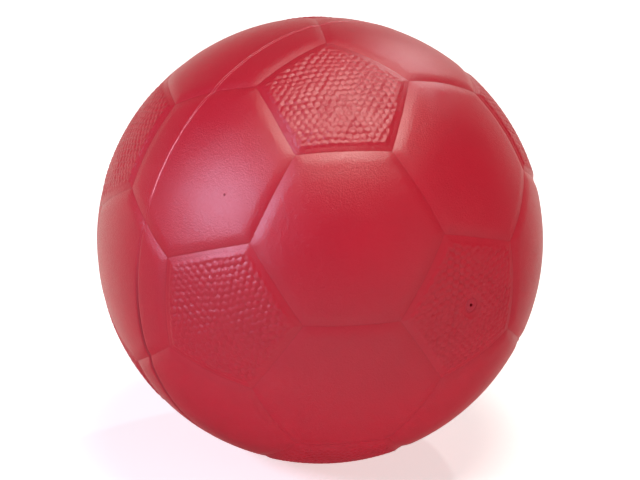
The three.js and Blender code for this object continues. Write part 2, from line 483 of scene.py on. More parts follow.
def rounded(corners, radius, steps=3):
    """An outline whose listed corners are rounded. A corner is (radius, distance, is_round)."""
    outline = []
    neighbours = zip(corners[-1:] + corners[:-1], corners, corners[1:] + corners[:1])
    for before, corner, after in neighbours:
        here = Vector(corner[:2])
        if not corner[2]:
            outline.append(tuple(here))
            continue
        back, on = Vector(before[:2]) - here, Vector(after[:2]) - here
        reach = min(radius, back.length / 2, on.length / 2)
        start = here + back.normalized() * reach
        end = here + on.normalized() * reach
        for k in range(steps + 1):
            t = k / steps
            bend = start * (1 - t) ** 2 + here * 2 * t * (1 - t) + end * t**2
            outline.append(tuple(bend))
    return outline


# ---------------------------------------------------------------- node trees


def add_node(tree, kind, inputs=(), **settings):
    """Adds a node, sets its settings and fills its inputs with values or links.

    The inputs are given by name or number, or as a list in the node's own order.
    """
    node = tree.nodes.new(kind)
    for name, value in settings.items():
        setattr(node, name, value)
    for key, value in inputs.items() if isinstance(inputs, dict) else enumerate(inputs):
        if isinstance(value, bpy.types.Node):
            value = value.outputs[0]
        if isinstance(value, bpy.types.NodeSocket):
            tree.links.new(value, node.inputs[key])
        else:
            node.inputs[key].default_value = value
    return node


def new_geometry_tree(name, inputs):
    """A Geometry Nodes tree with the named inputs. Gives the tree and its input node."""
    tree = bpy.data.node_groups.new(name, "GeometryNodeTree")
    tree.is_modifier = True
    tree.interface.new_socket("Geometry", in_out="INPUT", socket_type="NodeSocketGeometry")
    for label, kind in inputs:
        tree.interface.new_socket(label, in_out="INPUT", socket_type=kind)
    tree.interface.new_socket("Geometry", in_out="OUTPUT", socket_type="NodeSocketGeometry")
    return tree, tree.nodes.new("NodeGroupInput")


def end_tree(tree, geometry, material):
    """Ends a tree in Realize Instances and Set Material."""
    real = add_node(tree, "GeometryNodeRealizeInstances", {"Geometry": geometry})
    painted = add_node(
        tree, "GeometryNodeSetMaterial", {"Geometry": real, "Material": material}
    )
    add_node(tree, "NodeGroupOutput", {"Geometry": painted})


def add_tree(piece, tree, values):
    """Puts a tree on a piece as a modifier and sets its inputs by their identifiers."""
    modifier = piece.modifiers.new(tree.name, "NODES")
    modifier.node_group = tree
    for item in tree.interface.items_tree:
        if item.item_type == "SOCKET" and item.in_out == "INPUT" and item.name in values:
            modifier[item.identifier] = values[item.name]


def make_plain(piece):
    """Replaces a piece's mesh by what its modifiers make of it, and removes them."""
    bpy.context.view_layer.update()
    evaluated = piece.evaluated_get(bpy.context.evaluated_depsgraph_get())
    mesh = bpy.data.meshes.new_from_object(evaluated)
    piece.modifiers.clear()
    piece.data = mesh
    if not mesh.polygons and not mesh.vertices:
        raise RuntimeError(f"{piece.name} came out empty")


FLOAT = "NodeSocketFloat"

# The lips that the mould's edges leave, in millimetres: from the joint's plane to a lip's crest,
# and from the crest to a lip's foot.
LIP_PLACE = 0.62
LIP_HALF_WIDTH = 0.12


def panel_relief_tree():
    """Sinks the grooves and the pentagons into a plain ball and raises their pebbles.

    It reads each point's distance to the nearest groove, whether it lies in a pentagon, and
    whether it is on the outside of the cover.
    """
    labels = ["Groove depth", "Shoulder width", "Shoulder power", "Margin width"]
    labels += ["Field recess", "Pebble height", "Pebble reach", "Collar radius"]
    labels += ["Collar height", "Collar width", "Dish depth", "Crease depth", "Crease width"]
    labels += ["Lip height"]
    inputs = [(label, FLOAT) for label in labels]
    inputs += [("Pebbles", "NodeSocketObject"), ("Material", "NodeSocketMaterial")]
    tree, given = new_geometry_tree("Panel relief", inputs)
    value = given.outputs
    gap, in_pentagon, outside = [
        add_node(tree, "GeometryNodeInputNamedAttribute", {"Name": name}, data_type="FLOAT")
        for name in ("groove_gap", "pentagon", "outside")
    ]
    place = add_node(tree, "GeometryNodeInputPosition")
    axes = add_node(tree, "ShaderNodeSeparateXYZ", {"Vector": place})

    # Borders: round on a hexagon, steeper towards the groove on a pentagon.
    over_shoulder = add_node(
        tree, "ShaderNodeMapRange", [gap, 0.0, value["Shoulder width"], 1.0, 0.0]
    )
    shoulder = add_node(
        tree, "ShaderNodeMath", [over_shoulder, value["Shoulder power"]], operation="POWER"
    )
    hexagon_drop = add_node(
        tree, "ShaderNodeMath", [shoulder, value["Groove depth"]], operation="MULTIPLY"
    )
    over_margin = add_node(
        tree, "ShaderNodeMapRange", [gap, 0.0, value["Margin width"], 1.0, 0.0]
    )
    bank_power = 2.2
    bank = add_node(tree, "ShaderNodeMath", [over_margin, bank_power], operation="POWER")
    pentagon_drop = add_node(
        tree,
        "ShaderNodeMapRange",
        [bank, 0.0, 1.0, value["Field recess"], value["Groove depth"]],
    )
    panel_drop = add_node(
        tree,
        "ShaderNodeMix",
        {0: in_pentagon, 2: hexagon_drop, 3: pentagon_drop},
        data_type="FLOAT",
    )

    # The distance from the valve's axis, on its own side only. On the side away from the valve
    # it is the distance from the ball's centre, so that no collar stands at the far pole.
    beside_valve = add_node(
        tree, "ShaderNodeVectorMath", [place, (-1, 0, -1)], operation="MAXIMUM"
    )
    from_valve = add_node(tree, "ShaderNodeVectorMath", [beside_valve], operation="LENGTH")
    past_collar = add_node(
        tree,
        "ShaderNodeMath",
        [from_valve.outputs["Value"], value["Collar radius"]],
        operation="SUBTRACT",
    )
    collar_share = add_node(
        tree, "ShaderNodeMath", [past_collar, value["Collar width"]], operation="DIVIDE"
    )

    # Pebbles: a dome around each pebble's centre, on the field only and clear of the valve.
    pebbles = add_node(
        tree,
        "GeometryNodeObjectInfo",
        {"Object": value["Pebbles"]},
        transform_space="ORIGINAL",
    )
    nearest = add_node(
        tree,
        "GeometryNodeProximity",
        [pebbles.outputs["Geometry"]],
        target_element="POINTS",
    )
    share = add_node(
        tree,
        "ShaderNodeMath",
        [nearest.outputs["Distance"], value["Pebble reach"]],
        operation="DIVIDE",
    )
    squared = add_node(tree, "ShaderNodeMath", [share, share], operation="MULTIPLY")
    bowl = add_node(
        tree, "ShaderNodeMath", [1.0, squared], operation="SUBTRACT", use_clamp=True
    )
    dome = add_node(tree, "ShaderNodeMath", [bowl], operation="SQRT")
    bank_is_field, bank_is_bare = 0.15, 0.5
    on_field = add_node(
        tree,
        "ShaderNodeMapRange",
        [over_margin, bank_is_field, bank_is_bare, 1.0, 0.0],
        interpolation_type="SMOOTHSTEP",
    )
    clear_of_valve = add_node(
        tree, "ShaderNodeMath", [collar_share, 1.0], operation="SUBTRACT", use_clamp=True
    )
    pebble = dome
    for factor in (value["Pebble height"], on_field, clear_of_valve):
        pebble = add_node(tree, "ShaderNodeMath", [pebble, factor], operation="MULTIPLY")

    # Collar: a low rounded lip around the valve's hole, highest in the middle of its width.
    off_middle = add_node(
        tree, "ShaderNodeMath", [collar_share, 2.0, -1.0], operation="MULTIPLY_ADD"
    )
    from_middle = add_node(tree, "ShaderNodeMath", [off_middle], operation="ABSOLUTE")
    flank_height, blend = 1.6, 0.4
    flanks = add_node(
        tree, "ShaderNodeMapRange", [from_middle, 0.0, 1.0, flank_height, 0.0]
    )
    roll = add_node(tree, "ShaderNodeMath", [flanks, 1.0, blend], operation="SMOOTH_MIN")
    collar = add_node(
        tree, "ShaderNodeMath", [roll, value["Collar height"]], operation="MULTIPLY"
    )

    # Dish: the field sinks to the level of the plug's face, over this many collar widths.
    dish_widths = 2.5
    dish_share = add_node(
        tree, "ShaderNodeMapRange", [collar_share, 0.0, dish_widths, 1.0, 0.0]
    )
    dish = add_node(
        tree, "ShaderNodeMath", [dish_share, value["Dish depth"]], operation="MULTIPLY"
    )

    # Crease: the cover is drawn in along the joint, below a height that is a share of the radius.
    from_joint = add_node(tree, "ShaderNodeMath", [axes.outputs["Y"]], operation="ABSOLUTE")
    crease_share = add_node(
        tree, "ShaderNodeMapRange", [from_joint, 0.0, value["Crease width"], 1.0, 0.0]
    )
    upward = add_node(
        tree, "ShaderNodeMath", [axes.outputs["Z"], COVER_CROWN], operation="DIVIDE"
    )
    crease_whole, crease_ends = -0.1136, 0.3409
    downward = add_node(
        tree, "ShaderNodeMapRange", [upward, crease_whole, crease_ends, 1.0, 0.0]
    )
    crease = add_node(tree, "ShaderNodeMath", [crease_share, downward], operation="MULTIPLY")
    crease_drop = add_node(
        tree, "ShaderNodeMath", [crease, value["Crease depth"]], operation="MULTIPLY"
    )

    # Lips: the mould's worn edges leave one on each half, whole high on the joint and faint
    # elsewhere.
    off_lip = add_node(
        tree, "ShaderNodeMath", [from_joint, LIP_PLACE * MM], operation="SUBTRACT"
    )
    from_lip = add_node(tree, "ShaderNodeMath", [off_lip], operation="ABSOLUTE")
    lip_share = add_node(
        tree, "ShaderNodeMapRange", [from_lip, 0.0, LIP_HALF_WIDTH * MM, 1.0, 0.0]
    )
    breaks = add_node(
        tree, "ShaderNodeTexNoise", {"Vector": place, "Scale": per(7), "Detail": 2.0}
    )
    presence = add_node(tree, "ShaderNodeMath", [upward, breaks.outputs[0]], operation="ADD")
    lip_is_faint, lip_is_whole, faint_share = 0.8667, 1.2, 0.15
    wholeness = add_node(
        tree, "ShaderNodeMapRange", [presence, lip_is_faint, lip_is_whole, faint_share, 1.0]
    )
    lip = add_node(tree, "ShaderNodeMath", [lip_share, wholeness], operation="MULTIPLY")
    joint_lip = add_node(
        tree, "ShaderNodeMath", [lip, value["Lip height"]], operation="MULTIPLY"
    )

    # The height of all of them together, which only the outside of the cover takes.
    height = pebble
    for operation, part in (
        ("ADD", collar),
        ("SUBTRACT", dish),
        ("MULTIPLY", in_pentagon),
        ("ADD", joint_lip),
        ("SUBTRACT", panel_drop),
        ("SUBTRACT", crease_drop),
        ("MULTIPLY", outside),
    ):
        height = add_node(tree, "ShaderNodeMath", [height, part], operation=operation)
    along = add_node(tree, "ShaderNodeVectorMath", [place], operation="NORMALIZE")
    offset = add_node(
        tree, "ShaderNodeVectorMath", {0: along, "Scale": height}, operation="SCALE"
    )
    # The lip and crease shares are kept for the cover's material, which darkens the crease as
    # painted shade and paints the lips pale, partly as a painted highlight.
    marked = value["Geometry"]
    for name, share in (("lip", lip), ("crease", crease)):
        marked = add_node(
            tree,
            "GeometryNodeStoreNamedAttribute",
            {"Geometry": marked, "Name": name, "Value": share},
            data_type="FLOAT",
            domain="POINT",
        )
    moved = add_node(tree, "GeometryNodeSetPosition", {"Geometry": marked, "Offset": offset})
    end_tree(tree, moved, value["Material"])
    return tree


def pebble_row_tree():
    """Lays staggered rows of pebble centres in each pentagon.

    Its input has one point for each pentagon, with the turn that takes +Z to its centre and +X
    to the corner that the rows lie square to.
    """
    inputs = [("Ball radius", FLOAT), ("Row distance", FLOAT), ("Spacing", FLOAT)]
    inputs += [("Stray", FLOAT), ("Bend", FLOAT), ("Rows", "NodeSocketInt")]
    inputs += [("Seed", "NodeSocketInt"), ("Material", "NodeSocketMaterial")]
    tree, given = new_geometry_tree("Pebble rows", inputs)
    value = given.outputs

    # A flat sheet of rows, as many on each side of its middle, every second one half a step on.
    number = add_node(tree, "GeometryNodeInputIndex")
    half = value["Rows"]
    across = add_node(tree, "ShaderNodeMath", [half, 2.0, 1.0], operation="MULTIPLY_ADD")
    count = add_node(tree, "ShaderNodeMath", [across, across], operation="MULTIPLY")
    cells = add_node(tree, "GeometryNodePoints", {"Count": count})
    before = add_node(tree, "ShaderNodeMath", [number, across], operation="DIVIDE")
    whole = add_node(tree, "ShaderNodeMath", [before], operation="FLOOR")
    row = add_node(tree, "ShaderNodeMath", [whole, half], operation="SUBTRACT")
    within = add_node(tree, "ShaderNodeMath", [number, across], operation="MODULO")
    column = add_node(tree, "ShaderNodeMath", [within, half], operation="SUBTRACT")
    odd = add_node(tree, "ShaderNodeMath", [row, 2.0], operation="FLOORED_MODULO")
    staggered = add_node(tree, "ShaderNodeMath", [odd, 0.5, column], operation="MULTIPLY_ADD")
    x = add_node(tree, "ShaderNodeMath", [row, value["Row distance"]], operation="MULTIPLY")
    y = add_node(tree, "ShaderNodeMath", [staggered, value["Spacing"]], operation="MULTIPLY")
    flat = add_node(tree, "ShaderNodeCombineXYZ", [x, y, value["Ball radius"]])
    sheet = add_node(tree, "GeometryNodeSetPosition", {"Geometry": cells, "Position": flat})

    # One copy for each pentagon.
    turn = add_node(
        tree, "GeometryNodeInputNamedAttribute", {"Name": "turn"}, data_type="FLOAT_VECTOR"
    )
    rotation = add_node(tree, "FunctionNodeEulerToRotation", {"Euler": turn})
    copies = add_node(
        tree,
        "GeometryNodeInstanceOnPoints",
        {"Points": value["Geometry"], "Instance": sheet, "Rotation": rotation},
    )
    real = add_node(tree, "GeometryNodeRealizeInstances", {"Geometry": copies})

    # The centres stray a little, the rows bend slowly, and both are brought onto the ball.
    place = add_node(tree, "GeometryNodeInputPosition")
    stray = add_node(
        tree,
        "FunctionNodeRandomValue",
        {"Min": (-1, -1, -1), "Max": (1, 1, 1), "Seed": value["Seed"]},
        data_type="FLOAT_VECTOR",
    )
    swell = add_node(
        tree, "ShaderNodeTexNoise", {"Vector": place, "Scale": per(16), "Detail": 0.0}
    )
    sway = add_node(
        tree,
        "ShaderNodeVectorMath",
        [swell.outputs["Color"], (0.5, 0.5, 0.5)],
        operation="SUBTRACT",
    )
    moved = place
    for shift, size in ((sway, value["Bend"]), (stray, value["Stray"])):
        scaled = add_node(
            tree, "ShaderNodeVectorMath", {0: shift, "Scale": size}, operation="SCALE"
        )
        moved = add_node(tree, "ShaderNodeVectorMath", [moved, scaled], operation="ADD")
    along = add_node(tree, "ShaderNodeVectorMath", [moved], operation="NORMALIZE")
    on_ball = add_node(
        tree, "ShaderNodeVectorMath", {0: along, "Scale": value["Ball radius"]}, operation="SCALE"
    )
    settled = add_node(
        tree, "GeometryNodeSetPosition", {"Geometry": real, "Position": on_ball}
    )
    vertices = add_node(tree, "GeometryNodePointsToVertices", {"Points": settled})
    end_tree(tree, vertices, value["Material"])
    return tree


def joint_fin_tree():
    """Raises a torn fin on the joint's flash. It comes and goes along the joint."""
    inputs = [("Fin height", FLOAT), ("Patch length", FLOAT), ("Seed", FLOAT)]
    inputs += [("Material", "NodeSocketMaterial")]
    tree, given = new_geometry_tree("Joint fin", inputs)
    value = given.outputs
    crest = add_node(
        tree, "GeometryNodeInputNamedAttribute", {"Name": "crest"}, data_type="FLOAT"
    )
    place = add_node(tree, "GeometryNodeInputPosition")
    axes = add_node(tree, "ShaderNodeSeparateXYZ", {"Vector": place})
    # Patches where the fin stands, and nicks that are a ninth as long.
    patch_scale = add_node(
        tree, "ShaderNodeMath", [1.0, value["Patch length"]], operation="DIVIDE"
    )
    patches = add_node(
        tree,
        "ShaderNodeTexNoise",
        {"Vector": place, "W": value["Seed"], "Scale": patch_scale, "Detail": 1.5},
        noise_dimensions="4D",
    )
    nick_scale = add_node(
        tree, "ShaderNodeMath", [9.0, value["Patch length"]], operation="DIVIDE"
    )
    nicks = add_node(
        tree, "ShaderNodeTexNoise", {"Vector": place, "Scale": nick_scale, "Detail": 2.0}
    )
    # It stands mostly at this height, as a share of the ball's radius, and fades away from it.
    middle, patch_share, fade, ragged_share = 0.47, 2.4, 4.5, 1.6
    upward = add_node(
        tree, "ShaderNodeMath", [axes.outputs["Z"], COVER_CROWN], operation="DIVIDE"
    )
    off_middle = add_node(tree, "ShaderNodeMath", [upward, middle], operation="SUBTRACT")
    from_middle = add_node(tree, "ShaderNodeMath", [off_middle], operation="ABSOLUTE")
    spread = add_node(
        tree, "ShaderNodeMath", [patches.outputs[0], patch_share], operation="MULTIPLY"
    )
    presence = add_node(
        tree,
        "ShaderNodeMath",
        [from_middle, -fade, spread],
        operation="MULTIPLY_ADD",
        use_clamp=True,
    )
    ragged = add_node(
        tree, "ShaderNodeMath", [nicks.outputs[0], ragged_share], operation="MULTIPLY"
    )
    fin = add_node(tree, "ShaderNodeMath", [presence, ragged], operation="MULTIPLY")
    height = fin
    for factor in (value["Fin height"], crest):
        height = add_node(tree, "ShaderNodeMath", [height, factor], operation="MULTIPLY")
    along = add_node(tree, "ShaderNodeVectorMath", [place], operation="NORMALIZE")
    offset = add_node(
        tree, "ShaderNodeVectorMath", {0: along, "Scale": height}, operation="SCALE"
    )
    moved = add_node(
        tree, "GeometryNodeSetPosition", {"Geometry": value["Geometry"], "Offset": offset}
    )
    kept = add_node(
        tree,
        "GeometryNodeStoreNamedAttribute",
        {"Geometry": moved, "Name": "fin", "Value": fin},
        data_type="FLOAT",
        domain="POINT",
    )
    end_tree(tree, kept, value["Material"])
    return tree


def winding_tree():
    """Winds turns of thread over a shell, each a great circle that keeps clear of the valve."""
    inputs = [("Radius", FLOAT), ("Thread", FLOAT), ("Steepest turn", FLOAT)]
    inputs += [("Turns", "NodeSocketInt"), ("Seed", "NodeSocketInt")]
    inputs += [("Material", "NodeSocketMaterial")]
    tree, given = new_geometry_tree("Wound thread", inputs)
    value = given.outputs

    turn = add_node(
        tree, "GeometryNodeCurvePrimitiveCircle", {"Resolution": 84, "Radius": value["Radius"]}
    )
    spots = add_node(tree, "GeometryNodePoints", {"Count": value["Turns"]})
    number = add_node(tree, "GeometryNodeInputIndex")
    # The turns' axes are spread evenly over the part of a sphere round the valve's axis.
    counted = add_node(tree, "ShaderNodeMath", [number, 0.5], operation="ADD")
    share = add_node(tree, "ShaderNodeMath", [counted, value["Turns"]], operation="DIVIDE")
    lowest = add_node(tree, "ShaderNodeMath", [value["Steepest turn"]], operation="COSINE")
    cosine = add_node(tree, "ShaderNodeMapRange", [share, 0.0, 1.0, 1.0, lowest])
    angle = add_node(tree, "ShaderNodeMath", [cosine], operation="ARCCOSINE")
    jitter = add_node(
        tree,
        "FunctionNodeRandomValue",
        {"Min": -0.6, "Max": 0.6, "Seed": value["Seed"]},
        data_type="FLOAT",
    )
    golden = math.pi * (3 - math.sqrt(5))
    spin = add_node(
        tree,
        "ShaderNodeMath",
        [number, golden, jitter.outputs["Value"]],
        operation="MULTIPLY_ADD",
    )
    tilt = add_node(tree, "ShaderNodeCombineXYZ", {"X": angle, "Z": spin})
    # The circle's own axis is +Z, so the winding is laid round +Z and then turned to the valve.
    copies = add_node(
        tree,
        "GeometryNodeInstanceOnPoints",
        {
            "Points": spots,
            "Instance": turn,
            "Rotation": add_node(tree, "FunctionNodeEulerToRotation", {"Euler": tilt}),
        },
    )
    turned = add_node(
        tree,
        "GeometryNodeTransform",
        {"Geometry": copies, "Rotation": (math.radians(90), 0, 0)},
    )
    paths = add_node(tree, "GeometryNodeRealizeInstances", {"Geometry": turned})
    half_thread = add_node(
        tree, "ShaderNodeMath", [value["Thread"], 2.0], operation="DIVIDE"
    )
    section = add_node(
        tree, "GeometryNodeCurvePrimitiveCircle", {"Resolution": 6, "Radius": half_thread}
    )
    thread = add_node(
        tree, "GeometryNodeCurveToMesh", {"Curve": paths, "Profile Curve": section}
    )
    smooth = add_node(tree, "GeometryNodeSetShadeSmooth", {"Geometry": thread})
    painted = add_node(
        tree, "GeometryNodeSetMaterial", {"Geometry": smooth, "Material": value["Material"]}
    )
    joined = add_node(tree, "GeometryNodeJoinGeometry")
    tree.links.new(painted.outputs[0], joined.inputs[0])
    tree.links.new(value["Geometry"], joined.inputs[0])
    real = add_node(tree, "GeometryNodeRealizeInstances", {"Geometry": joined})
    add_node(tree, "NodeGroupOutput", {"Geometry": real})
    return tree


# ---------------------------------------------------------------- materials


def new_material(name):
    """An empty node material."""
    material = bpy.data.materials.new(name)
    material.use_nodes = True
    material.node_tree.nodes.clear()
    return material, material.node_tree


def per(millimetres):
    """A texture scale at which the pattern's grain has this size on Object coordinates."""
    return 1 / (millimetres * MM)


def rgba(value):
    """A colour property as a shader socket takes it."""
    return (*value[:3], 1.0)


def moulded_cover_rubber(finish):
    """Pigmented natural rubber, cured in a blasted mould: satin, finely grained, a bit cloudy."""
    material, tree = new_material("moulded_cover_rubber")
    place = add_node(tree, "ShaderNodeTexCoord").outputs["Object"]
    # Slow clouding in the pigment, about as wide as a thumb.
    clouds = add_node(
        tree, "ShaderNodeTexNoise", {"Vector": place, "Scale": per(24), "Detail": 3.0}
    )
    red = add_node(
        tree,
        "ShaderNodeMix",
        {0: clouds.outputs[0], 6: rgba(finish.cover_red), 7: rgba(finish.cover_shade)},
        data_type="RGBA",
    )
    # Painted shade: the red is mixed a little towards a darker red at the bottom of the grooves,
    # and fully along the joint's crease, where shade falls.
    gap = add_node(tree, "ShaderNodeAttribute", attribute_name="groove_gap")
    groove_shade_share = add_node(
        tree,
        "ShaderNodeMapRange",
        {0: gap.outputs["Fac"], 1: 0.05 * MM, 2: 0.5 * MM, 3: 0.12, 4: 0.0},
        interpolation_type="SMOOTHSTEP",
    )
    crease = add_node(tree, "ShaderNodeAttribute", attribute_name="crease")
    painted_fold_shade = add_node(
        tree,
        "ShaderNodeMath",
        {0: groove_shade_share.outputs[0], 1: crease.outputs["Fac"]},
        operation="MAXIMUM",
    )
    fold_shaded_red = add_node(
        tree,
        "ShaderNodeMix",
        {0: painted_fold_shade, 6: red.outputs[2], 7: rgba(finish.fold_shade_and_stub_red)},
        data_type="RGBA",
    )
    # The lips beside the joint are painted pale and nicked: partly the worn rubber's own paler
    # colour, partly a painted highlight along their crests.
    lip = add_node(tree, "ShaderNodeAttribute", attribute_name="lip")
    nicks = add_node(
        tree, "ShaderNodeTexNoise", {"Vector": place, "Scale": per(2.2), "Detail": 2.0}
    )
    unbroken = add_node(
        tree, "ShaderNodeMapRange", {0: nicks.outputs[0], 1: 0.36, 2: 0.5, 3: 0.1, 4: 0.7}
    )
    lip_wear_and_highlight = add_node(
        tree, "ShaderNodeMath", {0: lip.outputs["Fac"], 1: unbroken}, operation="MULTIPLY"
    )
    painted = add_node(
        tree,
        "ShaderNodeMix",
        {0: lip_wear_and_highlight, 6: fold_shaded_red.outputs[2], 7: rgba(finish.torn_and_highlight_pink)},
        data_type="RGBA",
    )
    # The blasted mould leaves a grain, drawn at a coarse 0.9 mm so that it shows, and cooling
    # leaves slow waves.
    grain = add_node(
        tree,
        "ShaderNodeTexNoise",
        {"Vector": place, "Scale": per(0.9), "Detail": 3.0, "Roughness": 0.75},
    )
    waves = add_node(tree, "ShaderNodeTexNoise", {"Vector": place, "Scale": per(11), "Detail": 1.0})
    sheen = add_node(
        tree,
        "ShaderNodeMapRange",
        {0: grain.outputs[0], 1: 0.3, 2: 0.7, 3: 0.28, 4: 0.42},
    )
    wavy = add_node(
        tree,
        "ShaderNodeBump",
        {"Height": waves.outputs[0], "Strength": 1.0, "Distance": 0.1 * MM},
    )
    grained = add_node(
        tree,
        "ShaderNodeBump",
        {"Height": grain.outputs[0], "Strength": 1.0, "Distance": 0.22 * MM, "Normal": wavy},
    )
    surface = add_node(
        tree,
        "ShaderNodeBsdfPrincipled",
        {
            "Base Color": painted.outputs[2],
            "Roughness": sheen.outputs[0],
            "Normal": grained,
            "IOR": 1.52,
            "Specular IOR Level": 0.9,
        },
    )
    add_node(tree, "ShaderNodeOutputMaterial", {"Surface": surface})
    return material


def torn_flash_rubber(finish):
    """Thin rubber torn off along the mould's joint: rougher where the fin stands, and painted pale
    there, partly the torn rubber's own colour and partly a painted highlight on the fin.
    """
    material, tree = new_material("torn_flash_rubber")
    place = add_node(tree, "ShaderNodeTexCoord").outputs["Object"]
    nicks = add_node(
        tree, "ShaderNodeTexNoise", {"Vector": place, "Scale": per(1.2), "Detail": 3.0}
    )
    fin = add_node(tree, "ShaderNodeAttribute", attribute_name="fin")
    torn = add_node(
        tree,
        "ShaderNodeMapRange",
        {0: fin.outputs["Fac"], 1: 0.15, 2: 0.6, 3: 0.0, 4: 1.0},
        interpolation_type="SMOOTHSTEP",
    )
    # Painted highlight: where the fin stands the flash is tinted pale pink, partly the torn
    # rubber's own paler colour.
    tint = add_node(
        tree,
        "ShaderNodeMix",
        {0: torn.outputs[0], 6: rgba(finish.cover_red), 7: rgba(finish.torn_and_highlight_pink)},
        data_type="RGBA",
    )
    bump = add_node(
        tree, "ShaderNodeBump", {"Height": nicks.outputs[0], "Distance": 0.1 * MM}
    )
    surface = add_node(
        tree,
        "ShaderNodeBsdfPrincipled",
        {
            "Base Color": tint.outputs[2],
            "Roughness": add_node(
                tree, "ShaderNodeMapRange", {0: nicks.outputs[0], 1: 0.3, 2: 0.7, 3: 0.45, 4: 0.6}
            ).outputs[0],
            "Normal": bump,
            "IOR": 1.52,
        },
    )
    add_node(tree, "ShaderNodeOutputMaterial", {"Surface": surface})
    return material


def matt_rubber(name, base, other, cloud_mm, grain_mm, grain_depth_mm, roughness):
    """A moulded matt rubber with a clouded colour and a fine grain."""
    material, tree = new_material(name)
    place = add_node(tree, "ShaderNodeTexCoord").outputs["Object"]
    clouds = add_node(
        tree, "ShaderNodeTexNoise", {"Vector": place, "Scale": per(cloud_mm), "Detail": 4.0}
    )
    patches = add_node(
        tree, "ShaderNodeMapRange", {0: clouds.outputs[0], 1: 0.4, 2: 0.75}
    )
    tint = add_node(
        tree,
        "ShaderNodeMix",
        {0: patches.outputs[0], 6: rgba(base), 7: rgba(other)},
        data_type="RGBA",
    )
    grain = add_node(
        tree, "ShaderNodeTexNoise", {"Vector": place, "Scale": per(grain_mm), "Detail": 3.0}
    )
    sheen = add_node(
        tree,
        "ShaderNodeMapRange",
        {0: grain.outputs[0], 1: 0.3, 2: 0.7, 3: roughness - 0.06, 4: roughness + 0.08},
    )
    bump = add_node(
        tree,
        "ShaderNodeBump",
        {"Height": grain.outputs[0], "Strength": 1.0, "Distance": grain_depth_mm * MM},
    )
    surface = add_node(
        tree,
        "ShaderNodeBsdfPrincipled",
        {
            "Base Color": tint.outputs[2],
            "Roughness": sheen.outputs[0],
            "Normal": bump,
            "IOR": 1.52,
            "Specular IOR Level": 0.4,
        },
    )
    add_node(tree, "ShaderNodeOutputMaterial", {"Surface": surface})
    return material


def nylon_thread(finish):
    """Multifilament nylon: off-white, faintly shiny, with the twist of its strands."""
    material, tree = new_material("wound_nylon_thread")
    place = add_node(tree, "ShaderNodeTexCoord").outputs["Object"]
    strands = add_node(
        tree, "ShaderNodeTexNoise", {"Vector": place, "Scale": per(0.5), "Detail": 2.0}
    )
    stains = add_node(
        tree, "ShaderNodeTexNoise", {"Vector": place, "Scale": per(30), "Detail": 2.0}
    )
    tint = add_node(
        tree,
        "ShaderNodeMix",
        {0: stains.outputs[0], 6: rgba(finish.thread_white), 7: rgba(finish.latex_amber)},
        data_type="RGBA",
    )
    bump = add_node(
        tree, "ShaderNodeBump", {"Height": strands.outputs[0], "Distance": 0.04 * MM}
    )
    surface = add_node(
        tree,
        "ShaderNodeBsdfPrincipled",
        {"Base Color": tint.outputs[2], "Roughness": 0.5, "Normal": bump, "IOR": 1.53},
    )
    add_node(tree, "ShaderNodeOutputMaterial", {"Surface": surface})
    return material


def lit_acrylic(settings):
    """Opal acrylic, lit from below as a product table is: nearly white, matt and even."""
    material, tree = new_material("opal_acrylic")
    place = add_node(tree, "ShaderNodeTexCoord").outputs["Object"]
    roller = add_node(
        tree, "ShaderNodeTexNoise", {"Vector": place, "Scale": per(3), "Detail": 2.0}
    )
    bump = add_node(
        tree, "ShaderNodeBump", {"Height": roller.outputs[0], "Distance": 0.05 * MM}
    )
    # The panel shines brighter away from the ball, so that it stays white where no lamp reaches.
    away = add_node(tree, "ShaderNodeVectorMath", {0: place}, operation="LENGTH")
    glow = add_node(
        tree,
        "ShaderNodeMapRange",
        {0: away.outputs["Value"], 1: 0.35, 2: 1.3, 3: settings.floor_glow, 4: 1.0},
        interpolation_type="SMOOTHSTEP",
    )
    surface = add_node(
        tree,
        "ShaderNodeBsdfPrincipled",
        {
            "Base Color": rgba(settings.floor_colour),
            "Roughness": 0.9,
            "Normal": bump,
            "Specular IOR Level": 0.1,
            "Emission Color": rgba(settings.floor_colour),
            "Emission Strength": glow,
        },
    )
    add_node(tree, "ShaderNodeOutputMaterial", {"Surface": surface})
    return material


# ---------------------------------------------------------------- cover pieces


class Row(NamedTuple):
    """A row of points across a panel's sector: its share of the way from the panel's centre to
    its side, its steps beside a pentagon and its steps beside a hexagon."""

    reach: float
    steps: int
    steps_by_hexagon: int


# Rows are listed by their distance in millimetres from a panel's side, or from the hole's rim.
PENTAGON_EDGE_STEPS = 48
HEXAGON_EDGE_STEPS = 24
FIELD_STEP = 0.55 * MM
HOLE_BEND = 6 * MM
BORDER_ROWS = [0, 0.3, 0.6, 1.0, 1.5, 2.1, 2.8, 3.5, 4.2, 4.9, 5.6]
HOLE_ROWS = [0.35, 0.12, 0]
HEXAGON_ROWS = [(6.6, 24), (7.8, 24), (9.2, 16), (11.2, 16), (13.6, 16), (16.5, 12), (20, 12)]
HEXAGON_ROWS += [(24, 8), (28, 6), (32, 4), (36, 2)]


def pentagon_rows(radius, hole_radius):
    """Rows from a pentagon's centre, or from the rim of its hole, out to its side."""
    across = across_pattern(5) * radius
    rows = [Row(1 - mm * MM / across, PENTAGON_EDGE_STEPS, 0) for mm in BORDER_ROWS]
    start = rows[-1].reach
    count = round(start * across / FIELD_STEP)
    for k in range(1, count):
        share = start * (1 - k / count)
        if share * across < hole_radius + FIELD_STEP:
            break
        side = 2 * math.tan(math.pi / 5) * share * across
        rows.append(Row(share, max(3, round(side / FIELD_STEP)), 0))
    if hole_radius:
        last = rows[-1].steps
        rows += [Row((hole_radius + mm * MM) / across, last, 0) for mm in HOLE_ROWS]
    else:
        rows.append(Row(0, 0, 0))
    return rows[::-1]


